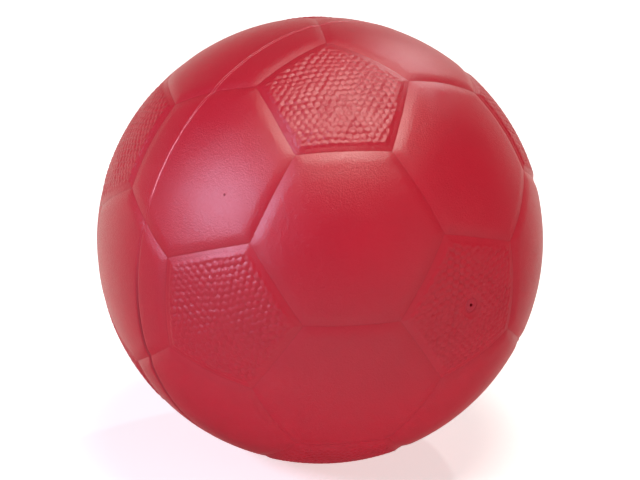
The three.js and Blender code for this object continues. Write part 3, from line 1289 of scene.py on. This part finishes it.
def hexagon_rows(radius):
    """Rows from a hexagon's centre out to its side, finer in its border."""
    across = across_pattern(6) * radius
    rows = [Row(1, PENTAGON_EDGE_STEPS, HEXAGON_EDGE_STEPS)]
    inner_rows = [(mm, HEXAGON_EDGE_STEPS) for mm in BORDER_ROWS[1:]] + HEXAGON_ROWS
    rows += [Row(1 - mm * MM / across, steps, steps) for mm, steps in inner_rows]
    rows.append(Row(0, 0, 0))
    return rows[::-1]


def beside_pentagon(panel, side):
    """Whether the panel on the other side of a hexagon's edge is a pentagon."""
    middle = unit(panel.corners[side] + panel.corners[(side + 1) % panel.sides])
    across = unit(2 * middle - panel.centre)
    return max(PANELS, key=lambda other: other.centre @ across).sides == 5


def row_points(panel, side, row, steps, radius, hole_radius):
    """Points of one row. Near a hole the row bends from the panel's outline to a circle."""
    start, end = panel.corners[side], panel.corners[(side + 1) % panel.sides]
    t = np.linspace(0, 1, steps + 1)[:, None] if steps else np.zeros((1, 1))
    edge = start * (1 - t) + end * t - panel.centre
    if hole_radius:
        across = across_pattern(panel.sides)
        around = unit(edge) * across
        from_hole = row.reach * across * radius - hole_radius
        bend = np.clip(1 - from_hole / HOLE_BEND, 0, 1)
        edge = edge * (1 - bend) + around * bend
    return unit(panel.centre + row.reach * edge) * radius


def panelled_skin(side, radius, hole_radius):
    """Points and faces of the panels on one side of the joint, before the joint cuts them."""
    points, faces, first = [], [], 0
    for panel in PANELS:
        if panel.centre[1] * side < -0.4:
            continue
        hole = hole_radius if side < 0 and panel.centre[1] < -0.99 else 0
        rows = pentagon_rows(radius, hole) if panel.sides == 5 else hexagon_rows(radius)
        for edge in range(panel.sides):
            fine = panel.sides == 5 or beside_pentagon(panel, edge)
            steps = [row.steps if fine else row.steps_by_hexagon for row in rows]
            drawn = [row_points(panel, edge, r, s, radius, hole) for r, s in zip(rows, steps)]
            for inner, outer in zip(drawn, drawn[1:]):
                faces.append(stitched(len(inner) - 1, len(outer) - 1) + first)
                points += [inner, outer]
                first += len(inner) + len(outer)
    points, faces = np.concatenate(points), np.concatenate(faces)
    _, kept, renumbered = np.unique(
        np.round(points / (0.001 * MM)) + 0.0, axis=0, return_index=True, return_inverse=True
    )
    return points[kept], renumbered.reshape(-1)[faces]


def cut_at_joint(points, faces, side, edge):
    """Cuts a skin off at a plane beside the joint.

    It gives the skin's points and faces, its ring of points at the cut and the ring around the
    valve's hole, if there is one.
    """
    shape = bmesh.new()
    mesh = mesh_from("skin", points, faces)
    shape.from_mesh(mesh)
    bpy.data.meshes.remove(mesh)
    whole = shape.verts[:] + shape.edges[:] + shape.faces[:]
    bmesh.ops.bisect_plane(
        shape,
        geom=whole,
        dist=0.01 * MM,
        plane_co=(0, side * edge, 0),
        plane_no=(0, -side, 0),
        clear_outer=True,
    )
    bmesh.ops.triangulate(shape, faces=[f for f in shape.faces if len(f.verts) > 3])
    shape.verts.index_update()
    points = [tuple(v.co) for v in shape.verts]
    faces = [[v.index for v in f.verts] for f in shape.faces]
    rim = sorted((v.index for v in shape.verts if v.is_boundary), key=lambda n: turn_of(points[n]))
    shape.free()
    at_joint = edge + 0.1 * MM
    ring = [n for n in rim if abs(points[n][1]) < at_joint]
    hole = [n for n in rim if abs(points[n][1]) >= at_joint]
    return points, faces, ring, hole


def add_ring(points, radius, y, steps):
    """Adds an even ring of points around the valve's axis, in order of turn."""
    first = len(points)
    turns = -math.pi + (np.arange(steps) + 0.5) * 2 * math.pi / steps
    points += [(radius * math.cos(t), y, radius * math.sin(t)) for t in turns]
    return list(range(first, first + steps))


# Rows beside the joint, by their distance from its plane in millimetres, with two close ones on
# each side of the lip.
JOINT_ROWS = [1.35, 1.0, 0.8, LIP_PLACE + LIP_HALF_WIDTH, LIP_PLACE]
JOINT_ROWS += [LIP_PLACE - LIP_HALF_WIDTH, 0.44, 0.32]
JOINT_STEPS = 620
INNER_STEPS = 96
INNER_ROWS = 22


def half_cover_mesh(name, side, sizes, seam, hole_radius):
    """One half of the cover as a closed wall, still without its relief.

    side is -1 for the half with the valve and +1 for the plain one.
    """
    radius = sizes.crown_radius
    skin, faces = panelled_skin(side, radius, hole_radius)
    clear_of_crease = 0.15 * MM
    cut = sizes.crease_width + clear_of_crease
    points, faces, last, hole = cut_at_joint(skin, faces, side, cut)
    for edge in [mm * MM for mm in JOINT_ROWS] + [seam.gap]:
        ring = add_ring(points, math.sqrt(radius**2 - edge**2), side * edge, JOINT_STEPS)
        faces += zip_rings(last, ring, points)
        last = ring
    outside_count = len(points)
    pole = math.asin(hole_radius / sizes.inner_radius) if side < 0 else 0
    equator = math.acos(seam.gap / sizes.inner_radius)
    last_row = INNER_ROWS - 1 if side < 0 else INNER_ROWS
    for k in range(INNER_ROWS):
        angle = equator + (pole - equator) * k / last_row
        y = side * sizes.inner_radius * math.cos(angle)
        ring = add_ring(points, sizes.inner_radius * math.sin(angle), y, INNER_STEPS)
        faces += zip_rings(last, ring, points)
        last = ring
    if side < 0:
        faces += zip_rings(last, hole, points)
    else:
        points.append((0, sizes.inner_radius, 0))
        faces += [(a, b, len(points) - 1) for a, b in zip(last, last[1:] + last[:1])]
    mesh = mesh_from(name, points, faces)
    outward(mesh)
    gap, pentagon = groove_gaps(unit(np.array(points)), radius)
    set_attribute(mesh, "groove_gap", gap)
    set_attribute(mesh, "pentagon", pentagon)
    set_attribute(mesh, "outside", np.arange(len(points)) < outside_count)
    return mesh


def turn_to(centre, corner):
    """The turn that takes +Z to a panel's centre and +X to one of its corners."""
    z = Vector(centre)
    x = Vector(corner - centre).normalized()
    y = z.cross(x)
    return Matrix((x, y, z)).transposed().to_euler("XYZ")


def pebble_centres(sizes):
    """An object whose vertices are the centres of all the pebbles."""
    pentagons = [p for p in PANELS if p.sides == 5]
    mesh = mesh_from("pebble_centres", [(0, 0, 0)] * len(pentagons), [])
    turns = [turn_to(p.centre, max(p.corners, key=lambda c: abs(c[2]))) for p in pentagons]
    attribute = mesh.attributes.new("turn", "FLOAT_VECTOR", "POINT")
    attribute.data.foreach_set("vector", [a for t in turns for a in t])
    centres = new_object("pebble_centres", mesh)
    field = across_pattern(5) * sizes.crown_radius - sizes.margin_width
    values = {
        "Ball radius": sizes.crown_radius,
        "Row distance": sizes.pebble_row,
        "Spacing": sizes.pebble_step,
        "Stray": sizes.pebble_stray,
        "Bend": sizes.pebble_bend,
        "Rows": math.ceil(field / math.cos(math.pi / 5) / sizes.pebble_row),
        "Seed": sizes.pebble_seed,
    }
    add_tree(centres, pebble_row_tree(), values)
    make_plain(centres)
    return centres


def relief_values(sizes, hole_radius, pebbles, material):
    """The values of the panel relief's inputs."""
    return {
        "Groove depth": sizes.groove_depth,
        "Shoulder width": sizes.shoulder_width,
        "Shoulder power": sizes.shoulder_power,
        "Margin width": sizes.margin_width,
        "Field recess": sizes.field_recess,
        "Pebble height": sizes.pebble_height,
        "Pebble reach": sizes.pebble_reach,
        "Collar radius": hole_radius,
        "Collar height": sizes.collar_height,
        "Collar width": sizes.collar_width,
        "Dish depth": sizes.crown_radius - sizes.field_recess - PLUG_FACE - 0.04 * MM,
        "Crease depth": sizes.crease_depth,
        "Crease width": sizes.crease_width,
        "Lip height": sizes.lip_height,
        "Pebbles": pebbles,
        "Material": material,
    }


def place_piece(piece, body, node, material=None):
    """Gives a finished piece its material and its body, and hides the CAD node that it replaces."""
    if material:
        piece.data.materials.clear()
        piece.data.materials.append(material)
    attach(piece, body)
    if node:
        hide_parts(node)


class RUBBERBALL_OT_half_covers(bpy.types.Operator):
    """Makes the two half covers with their hexagons, pebbled pentagons and grooves"""

    bl_idname = "rubber_ball.half_covers"
    bl_label = "Half covers"

    def execute(self, context):
        scene = context.scene
        sizes, seam = scene.ball_cover, scene.ball_seam
        hole_radius = node_radius("valve_core") + sizes.hole_gap
        pebbles = pebble_centres(sizes)
        rubber = moulded_cover_rubber(scene.ball_finishes)
        tree = panel_relief_tree()
        values = relief_values(sizes, hole_radius, pebbles, rubber)
        for name, side, node in (
            ("valve_half_cover", -1, "cover_valve_half"),
            ("plain_half_cover", 1, "cover_plain_half"),
        ):
            half = new_object(name, half_cover_mesh(name, side, sizes, seam, hole_radius))
            add_tree(half, tree, values)
            make_plain(half)
            shade(half.data, 65)
            place_piece(half, "ball", node)
        bpy.data.objects.remove(pebbles)
        return {"FINISHED"}


class RUBBERBALL_OT_seam_flash(bpy.types.Operator):
    """Makes the thin web of rubber in the joint and the torn fin that stands on it"""

    bl_idname = "rubber_ball.seam_flash"
    bl_label = "Joint flash"

    def execute(self, context):
        scene = context.scene
        sizes, seam = scene.ball_cover, scene.ball_seam
        radius = sizes.crown_radius
        half = seam.width / 2
        section = [(-half, sizes.inner_radius), (-half, radius), (-half / 2, radius)]
        section += [(half / 2, radius), (half, radius), (half, sizes.inner_radius)]
        count = 2 * JOINT_STEPS
        points, faces = [], []
        rings = [add_ring(points, distance, y, count) for y, distance in section]
        for ring, following in zip(rings, rings[1:] + rings[:1]):
            faces += faces_between(ring, following)
        mesh = mesh_from("seam_flash", points, faces)
        outward(mesh)
        gap, pentagon = groove_gaps(unit(np.array(points)), radius)
        set_attribute(mesh, "groove_gap", gap)
        set_attribute(mesh, "pentagon", pentagon)
        set_attribute(mesh, "outside", np.repeat([0, 1, 1, 1, 1, 0], count))
        set_attribute(mesh, "crest", np.repeat([0, 0.2, 1, 1, 0.2, 0], count))
        flash = new_object("seam_flash", mesh)
        rubber = torn_flash_rubber(scene.ball_finishes)
        nowhere = new_object("no_pebbles", mesh_from("no_pebbles", [(0, 0, 0)], []))
        relief = bpy.data.node_groups["Panel relief"]
        add_tree(flash, relief, relief_values(sizes, 0, nowhere, rubber))
        values = {
            "Fin height": seam.fin_height,
            "Patch length": seam.fin_patch,
            "Seed": seam.seed,
            "Material": rubber,
        }
        add_tree(flash, joint_fin_tree(), values)
        make_plain(flash)
        bpy.data.objects.remove(nowhere)
        shade(flash.data, 50)
        place_piece(flash, "ball", "joint_bead")
        return {"FINISHED"}


class RUBBERBALL_OT_vent_mark(bpy.types.Operator):
    """Makes the stub that the mould's vent leaves on a hexagon when it is trimmed"""

    bl_idname = "rubber_ball.vent_mark"
    bl_label = "Vent mark"

    def execute(self, context):
        scene = context.scene
        sizes = scene.ball_cover
        width = sizes.vent_diameter / 2
        # The stub's outline as shares of its radius and height, from under the skin to its middle.
        outline = [(0, -1.2), (1.3, -1.2), (1.3, -0.3), (1.15, 0.1), (1.0, 0.75), (0.85, 1.0)]
        outline += [(0.6, 0.95), (0.42, 0.55), (0.2, 0.35), (0, 0.3)]
        from_valve, twist = math.radians(69.3), math.radians(-58.3)
        up = Vector(direction(from_valve, twist))
        side = up.cross(Vector((0, 0, 1))).normalized()
        front = up.cross(side)
        steps = 40
        points, rings = [], []
        for share, lift in outline:
            centre = up * (sizes.crown_radius + lift * sizes.vent_height)
            first = len(points)
            for k in range(steps if share else 1):
                turn = 2 * math.pi * k / steps
                ragged = 1 + 0.06 * math.sin(3 * turn + 1) + 0.04 * math.sin(5 * turn)
                reach = share * width * ragged
                points.append(centre + (side * math.cos(turn) + front * math.sin(turn)) * reach)
            rings.append(list(range(first, len(points))))
        faces = []
        for ring, following in zip(rings, rings[1:]):
            faces += faces_between(ring, following)
        mesh = mesh_from("vent_mark", points, faces)
        outward(mesh)
        shade(mesh, 60)
        finish = scene.ball_finishes
        rubber = matt_rubber(
            "trimmed_vent_rubber", finish.fold_shade_and_stub_red, finish.plug_red, 1, 0.3, 0.05, 0.6
        )
        place_piece(new_object("vent_mark", mesh), "ball", None, rubber)
        return {"FINISHED"}


# ---------------------------------------------------------------- carcass pieces


def arc(radius, from_angle, to_angle, steps):
    """Points (radius, distance) of an arc around the ball's centre, by angle from the valve."""
    angles = np.linspace(from_angle, to_angle, steps + 1)
    return [(max(radius * math.sin(a), 0.0), radius * math.cos(a)) for a in angles]


def shell_mesh(name, outer, inner, hole_radius, rows, steps, rib=None):
    """A closed shell with a round hole at the valve. rib adds height by angle from the valve."""
    outside = arc(outer, math.asin(hole_radius / outer), math.pi, rows)
    inside = arc(inner, math.pi, math.asin(hole_radius / inner), rows)
    if rib:
        lifted = []
        for radius, distance in outside:
            reach = math.hypot(radius, distance)
            angle = math.atan2(radius, distance)
            share = (reach + rib(angle)) / reach
            lifted.append((radius * share, distance * share))
        outside = lifted
    points, rings = [], []
    for radius, distance in outside + inside:
        if radius < 1e-9:
            rings.append([len(points)])
            points.append((0, -distance, 0))
        else:
            rings.append(add_ring(points, radius, -distance, steps))
    faces = []
    for ring, following in zip(rings, rings[1:] + rings[:1]):
        faces += faces_between(ring, following)
    mesh = mesh_from(name, points, faces)
    outward(mesh)
    return mesh


class RUBBERBALL_OT_winding(bpy.types.Operator):
    """Makes the latex-soaked winding of nylon thread around the bladder"""

    bl_idname = "rubber_ball.winding"
    bl_label = "Thread winding"

    def execute(self, context):
        sizes, finish = context.scene.ball_carcass, context.scene.ball_finishes
        thread = sizes.thread_thickness
        hole = hole_through_carcass()
        coat = WINDING_OUTER - thread
        mesh = shell_mesh("winding_threads", coat, WINDING_INNER, hole, 72, 144)
        latex = matt_rubber(
            "dried_latex", finish.latex_amber, finish.thread_white, 14, 0.8, 0.05, 0.55
        )
        mesh.materials.append(latex)
        winding = new_object("winding_threads", mesh)
        values = {
            "Radius": WINDING_OUTER - thread / 2,
            "Thread": thread,
            "Steepest turn": sizes.thread_tilt,
            "Turns": sizes.thread_count,
            "Seed": sizes.thread_seed,
            "Material": nylon_thread(finish),
        }
        add_tree(winding, winding_tree(), values)
        make_plain(winding)
        place_piece(winding, "ball", "thread_winding")
        return {"FINISHED"}


def hole_through_carcass():
    """Radius of the hole that the valve's housing stands in."""
    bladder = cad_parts["bladder"].data.vertices
    return min(math.hypot(v.co.x, v.co.z) for v in bladder if v.co.y < -BLADDER_INNER / 2)


class RUBBERBALL_OT_bladder(bpy.types.Operator):
    """Makes the moulded bladder with its mould line and the rim around its valve"""

    bl_idname = "rubber_ball.bladder"
    bl_label = "Bladder"

    def execute(self, context):
        sizes, finish = context.scene.ball_carcass, context.scene.ball_finishes
        hole = hole_through_carcass()

        def mould_line(angle):
            near_joint = abs(angle - math.pi / 2) / math.radians(0.5)
            near_valve = abs(math.sin(angle) * BLADDER_OUTER - hole - 4 * MM) / (1.2 * MM)
            return sizes.rib_height * (max(0, 1 - near_joint) + max(0, 1 - near_valve))

        outer = BLADDER_OUTER - sizes.rib_height
        mesh = shell_mesh("bladder_skin", outer, BLADDER_INNER, hole, 360, 128, mould_line)
        bladder = new_object("bladder_skin", mesh)
        shade(mesh, 50)
        butyl = matt_rubber(
            "moulded_butyl", finish.butyl_black, finish.talc, 9, 0.6, 0.02, 0.5
        )
        place_piece(bladder, "ball", "bladder", butyl)
        return {"FINISHED"}


class RUBBERBALL_OT_valve_patch(bpy.types.Operator):
    """Makes the domed rubber patch that holds the valve's housing to the bladder"""

    bl_idname = "rubber_ball.valve_patch"
    bl_label = "Valve patch"

    def execute(self, context):
        finish = context.scene.ball_finishes
        hole = hole_through_carcass()
        rim = node_radius("valve_patch")
        feather = 2.5 * MM
        crown_end = math.asin((rim - feather) / PATCH_OUTER)
        outer = arc(PATCH_OUTER, math.asin(hole / PATCH_OUTER), crown_end, 14)
        edge = PATCH_INNER + 0.15 * MM
        feathered = arc(edge, math.asin(rim / edge), math.asin(rim / edge), 0)
        inner_start = math.asin((rim - 0.2 * MM) / PATCH_INNER)
        inner = arc(PATCH_INNER, inner_start, math.asin(hole / PATCH_INNER), 16)
        mesh = lathe("valve_patch_disc", outer + feathered + inner, 96)
        patch = new_object("valve_patch_disc", mesh)
        shade(mesh, 40)
        gum = matt_rubber(
            "calendered_gum_rubber", finish.gum_brown, finish.latex_amber, 18, 0.9, 0.05, 0.65
        )
        place_piece(patch, "ball", "valve_patch", gum)
        return {"FINISHED"}


# ---------------------------------------------------------------- valve pieces

# The gap between the housing and each of its neighbours.
FIT_GAP = 0.3 * MM


class RUBBERBALL_OT_valve_housing(bpy.types.Operator):
    """Makes the flanged rubber barrel that the valve's plug is pressed into"""

    bl_idname = "rubber_ball.valve_housing"
    bl_label = "Valve housing"

    def execute(self, context):
        scene = context.scene
        sizes = scene.ball_valve
        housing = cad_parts["valve_housing"].data.vertices
        flange_rim = node_radius("valve_housing")
        radii = sorted({round(math.hypot(v.co.x, v.co.z), 6) for v in housing})
        bore, seat, barrel = radii[0], radii[1], hole_through_carcass() - FIT_GAP
        seat_floor = PLUG_FACE - sizes.head_thickness - FIT_GAP
        flange_top = PATCH_INNER - FIT_GAP
        drop = flange_top - math.sqrt(flange_top**2 - flange_rim**2)
        thick = 1.2 * MM
        corners = [
            (bore, HOUSING_END, True),
            (bore, seat_floor, False),
            (seat, seat_floor, False),
            (seat, HOUSING_TOP - 0.1 * MM, True),
            (barrel, HOUSING_TOP - 0.25 * MM, True),
            (barrel, flange_top - 0.2 * MM, False),
            (barrel * 1.25, flange_top - 0.35 * MM, False),
            (flange_rim, flange_top - drop, True),
            (flange_rim, flange_top - drop - thick * 0.7, True),
            (barrel * 1.3, flange_top - thick * 1.3, False),
            (barrel, flange_top - thick * 2.2, False),
        ]
        step = (flange_top - thick * 2.2 - HOUSING_END) / 5
        for k in range(1, 4):
            ring_at = flange_top - thick * 2.2 - k * step
            corners.append((barrel, ring_at + 0.6 * MM, False))
            corners.append((barrel - 0.35 * MM, ring_at, False))
            corners.append((barrel, ring_at - 0.6 * MM, False))
        corners.append((barrel, HOUSING_END + 1.2 * MM, False))
        corners.append((barrel - 0.9 * MM, HOUSING_END, True))
        mesh = lathe("valve_housing_body", rounded(corners, sizes.edge_rounding), 96)
        piece = new_object("valve_housing_body", mesh)
        shade(mesh, 40)
        finish = scene.ball_finishes
        rubber = matt_rubber(
            "moulded_housing_rubber", finish.housing_black, finish.butyl_black, 5, 0.5, 0.03, 0.6
        )
        place_piece(piece, "ball", "valve_housing", rubber)
        return {"FINISHED"}


class RUBBERBALL_OT_valve_plug(bpy.types.Operator):
    """Makes the ribbed rubber plug with the hole for the inflation needle"""

    bl_idname = "rubber_ball.valve_plug"
    bl_label = "Valve plug"

    def execute(self, context):
        scene = context.scene
        sizes = scene.ball_valve
        head, stem = node_radius("valve_core"), sizes.stem_diameter / 2
        needle, funnel = sizes.needle_hole / 2, sizes.funnel_diameter / 2
        underside = PLUG_FACE - sizes.head_thickness
        corners = [
            (0, PLUG_FACE - sizes.channel_depth, False),
            (needle, PLUG_FACE - sizes.channel_depth, False),
            (needle, PLUG_FACE - sizes.funnel_depth, False),
            (funnel - 0.2 * MM, PLUG_FACE - 0.15 * MM, True),
            (funnel, PLUG_FACE, True),
            (head - 0.9 * MM, PLUG_FACE, True),
            (head - 0.75 * MM, PLUG_FACE - 0.06 * MM, False),
            (head - 0.5 * MM, PLUG_FACE - 0.06 * MM, False),
            (head - 0.3 * MM, PLUG_FACE, True),
            (head, PLUG_FACE - 0.05 * MM, True),
            (head, underside, True),
            (stem, underside, False),
        ]
        for k in range(1, sizes.rib_count + 1):
            crest = underside - k * sizes.rib_pitch
            corners.append((stem, crest + sizes.rib_pitch / 4, False))
            corners.append((stem + sizes.rib_height, crest, True))
            corners.append((stem, crest - sizes.rib_height, False))
        tip = 2.5 * MM
        corners.append((stem, PLUG_END + tip, False))
        corners.append((stem * 0.6, PLUG_END, True))
        corners.append((0, PLUG_END, False))
        mesh = lathe("valve_plug", rounded(corners, sizes.edge_rounding), 96)
        plug = new_object("valve_plug", mesh)
        shade(mesh, 40)
        finish = scene.ball_finishes
        rubber = matt_rubber(
            "matt_plug_rubber", finish.plug_red, finish.cover_red, 3, 0.35, 0.02, 0.5
        )
        place_piece(plug, "plug", "valve_core", rubber)
        return {"FINISHED"}


# ---------------------------------------------------------------- stage


def aim(thing, place, target):
    """Puts a camera or a light at a place and points it at a target."""
    thing.location = place
    thing.rotation_euler = (Vector(target) - Vector(place)).to_track_quat("-Z", "Y").to_euler()


def from_ball(azimuth, elevation, distance):
    """A place by degrees around and above the ball. Azimuth 0 is in front of the valve."""
    a, e = math.radians(azimuth), math.radians(elevation)
    back = Vector((math.sin(a) * math.cos(e), -math.cos(a) * math.cos(e), math.sin(e)))
    return back * distance


class Softbox(NamedTuple):
    """A rectangular studio light. Its angles are in degrees, its sizes in metres, its power in
    watts, and its tint is an sRGB hex code."""

    name: str
    azimuth: float
    elevation: float
    distance: float
    width: float
    height: float
    power: float
    tint: str
    seen_in_gloss: bool = True


SOFTBOXES = [
    Softbox("side_softbox", -96, 29, 1.2, 0.33, 0.29, 8.8, "DCDEFF"),
    Softbox("overhead_softbox", 10, 78, 1.3, 0.56, 0.56, 11.5, "FFF6EC"),
    Softbox("kicker", 110, 37, 1.2, 0.045, 0.045, 2.1, "FFFFFF"),
    Softbox("fill_panel", 20, 8, 1.6, 1.3, 0.9, 7.5, "FFF4EC", seen_in_gloss=False),
]


def add_softbox(box):
    """Adds a studio light that faces the ball."""
    lamp = bpy.data.lights.new(box.name, "AREA")
    lamp.shape = "RECTANGLE"
    lamp.size = box.width
    lamp.size_y = box.height
    lamp.energy = box.power
    lamp.color = linear(box.tint)
    light = bpy.data.objects.new(box.name, lamp)
    bpy.context.scene.collection.objects.link(light)
    light.visible_glossy = box.seen_in_gloss
    aim(light, from_ball(box.azimuth, box.elevation, box.distance), (0, 0, 0))


def studio_room(settings):
    """A dim room with a bright white sweep behind the ball, and white where the camera looks."""
    world = bpy.data.worlds.new("studio_room")
    world.use_nodes = True
    tree = world.node_tree
    tree.nodes.clear()
    azimuth = math.degrees(settings.camera_azimuth)
    sweep = from_ball(azimuth + 190, 0, 1)
    toward = add_node(tree, "ShaderNodeTexCoord").outputs["Generated"]
    behind = add_node(tree, "ShaderNodeVectorMath", {0: toward, 1: sweep}, operation="DOT_PRODUCT")
    across = add_node(
        tree,
        "ShaderNodeMapRange",
        {0: behind.outputs["Value"], 1: 0.4, 2: 0.85},
        interpolation_type="SMOOTHSTEP",
    )
    height = add_node(tree, "ShaderNodeSeparateXYZ", {"Vector": toward})
    above_floor = add_node(
        tree,
        "ShaderNodeMapRange",
        {0: height.outputs["Z"], 1: -0.68, 2: -0.46},
        interpolation_type="SMOOTHSTEP",
    )
    below_top = add_node(
        tree,
        "ShaderNodeMapRange",
        {0: height.outputs["Z"], 1: -0.1, 2: 0.35, 3: 1.0, 4: 0.1},
        interpolation_type="SMOOTHSTEP",
    )
    tall = add_node(
        tree, "ShaderNodeMath", {0: above_floor, 1: below_top}, operation="MULTIPLY"
    )
    share = add_node(tree, "ShaderNodeMath", {0: across, 1: tall}, operation="MULTIPLY")
    lit = add_node(
        tree,
        "ShaderNodeMix",
        {0: share, 2: settings.room_strength, 3: settings.sweep_strength},
        data_type="FLOAT",
    )
    path = add_node(tree, "ShaderNodeLightPath")
    strength = add_node(
        tree, "ShaderNodeMix", {0: path.outputs["Is Camera Ray"], 2: lit, 3: 1.0}, data_type="FLOAT"
    )
    tint = add_node(
        tree,
        "ShaderNodeMix",
        {0: path.outputs["Is Camera Ray"], 6: rgba(settings.sweep_colour), 7: (1, 1, 1, 1)},
        data_type="RGBA",
    )
    sky = add_node(
        tree, "ShaderNodeBackground", {"Color": tint.outputs[2], "Strength": strength}
    )
    add_node(tree, "ShaderNodeOutputWorld", {"Surface": sky})
    return world


class RUBBERBALL_OT_stage(bpy.types.Operator):
    """Makes the floor, the studio lights and the camera"""

    bl_idname = "rubber_ball.stage"
    bl_label = "Stage"

    def execute(self, context):
        scene = context.scene
        settings = scene.ball_stage
        camera = bpy.data.objects.new("camera", bpy.data.cameras.new("camera"))
        scene.collection.objects.link(camera)
        scene.camera = camera
        camera.data.lens = settings.lens
        camera.data.clip_end = 20
        azimuth = math.degrees(settings.camera_azimuth)
        elevation = math.degrees(settings.camera_elevation)
        aim(camera, from_ball(azimuth, elevation, settings.camera_distance), (0, 0, 0))

        half = settings.floor_size / 2
        level = -scene.ball_cover.crown_radius
        corners = [(x * half, y * half, level) for x, y in ((-1, -1), (1, -1), (1, 1), (-1, 1))]
        floor = new_object("floor", mesh_from("floor", corners, [(0, 1, 2, 3)]))
        floor.data.materials.append(lit_acrylic(settings))
        floor.visible_glossy = False

        for box in SOFTBOXES:
            add_softbox(box)
        scene.world = studio_room(settings)
        scene.view_settings.view_transform = "Standard"
        return {"FINISHED"}


# ---------------------------------------------------------------- add-on


PIECE_OPERATORS = (
    RUBBERBALL_OT_half_covers,
    RUBBERBALL_OT_seam_flash,
    RUBBERBALL_OT_vent_mark,
    RUBBERBALL_OT_winding,
    RUBBERBALL_OT_bladder,
    RUBBERBALL_OT_valve_patch,
    RUBBERBALL_OT_valve_housing,
    RUBBERBALL_OT_valve_plug,
    RUBBERBALL_OT_stage,
)


class RUBBERBALL_PT_panel(bpy.types.Panel):
    """Lists the ball's sizes and the operators that make its pieces"""

    bl_idname = "RUBBERBALL_PT_panel"
    bl_label = "Rubber Ball"
    bl_space_type = "VIEW_3D"
    bl_region_type = "UI"
    bl_category = "Rubber Ball"

    def draw(self, context):
        layout = self.layout
        for operator in PIECE_OPERATORS:
            layout.operator(operator.bl_idname)
        for name in SETTINGS:
            group = getattr(context.scene, name)
            box = layout.box()
            for field in group.__annotations__:
                box.prop(group, field)


SETTINGS = {
    "ball_cover": CoverSizes,
    "ball_seam": SeamSizes,
    "ball_carcass": CarcassSizes,
    "ball_valve": ValveSizes,
    "ball_finishes": RubberFinishes,
    "ball_stage": StageSettings,
}
CLASSES = (*SETTINGS.values(), *PIECE_OPERATORS, RUBBERBALL_PT_panel)


def register():
    for cls in CLASSES:
        bpy.utils.register_class(cls)
    for name, group in SETTINGS.items():
        setattr(bpy.types.Scene, name, bpy.props.PointerProperty(type=group))


def unregister():
    for name in SETTINGS:
        delattr(bpy.types.Scene, name)
    for cls in reversed(CLASSES):
        bpy.utils.unregister_class(cls)


def main():
    register()
    bpy.ops.rubber_ball.half_covers()
    bpy.ops.rubber_ball.seam_flash()
    bpy.ops.rubber_ball.vent_mark()
    bpy.ops.rubber_ball.winding()
    bpy.ops.rubber_ball.bladder()
    bpy.ops.rubber_ball.valve_patch()
    bpy.ops.rubber_ball.valve_housing()
    bpy.ops.rubber_ball.valve_plug()
    bpy.ops.rubber_ball.stage()


if __name__ == "__main__":
    main()
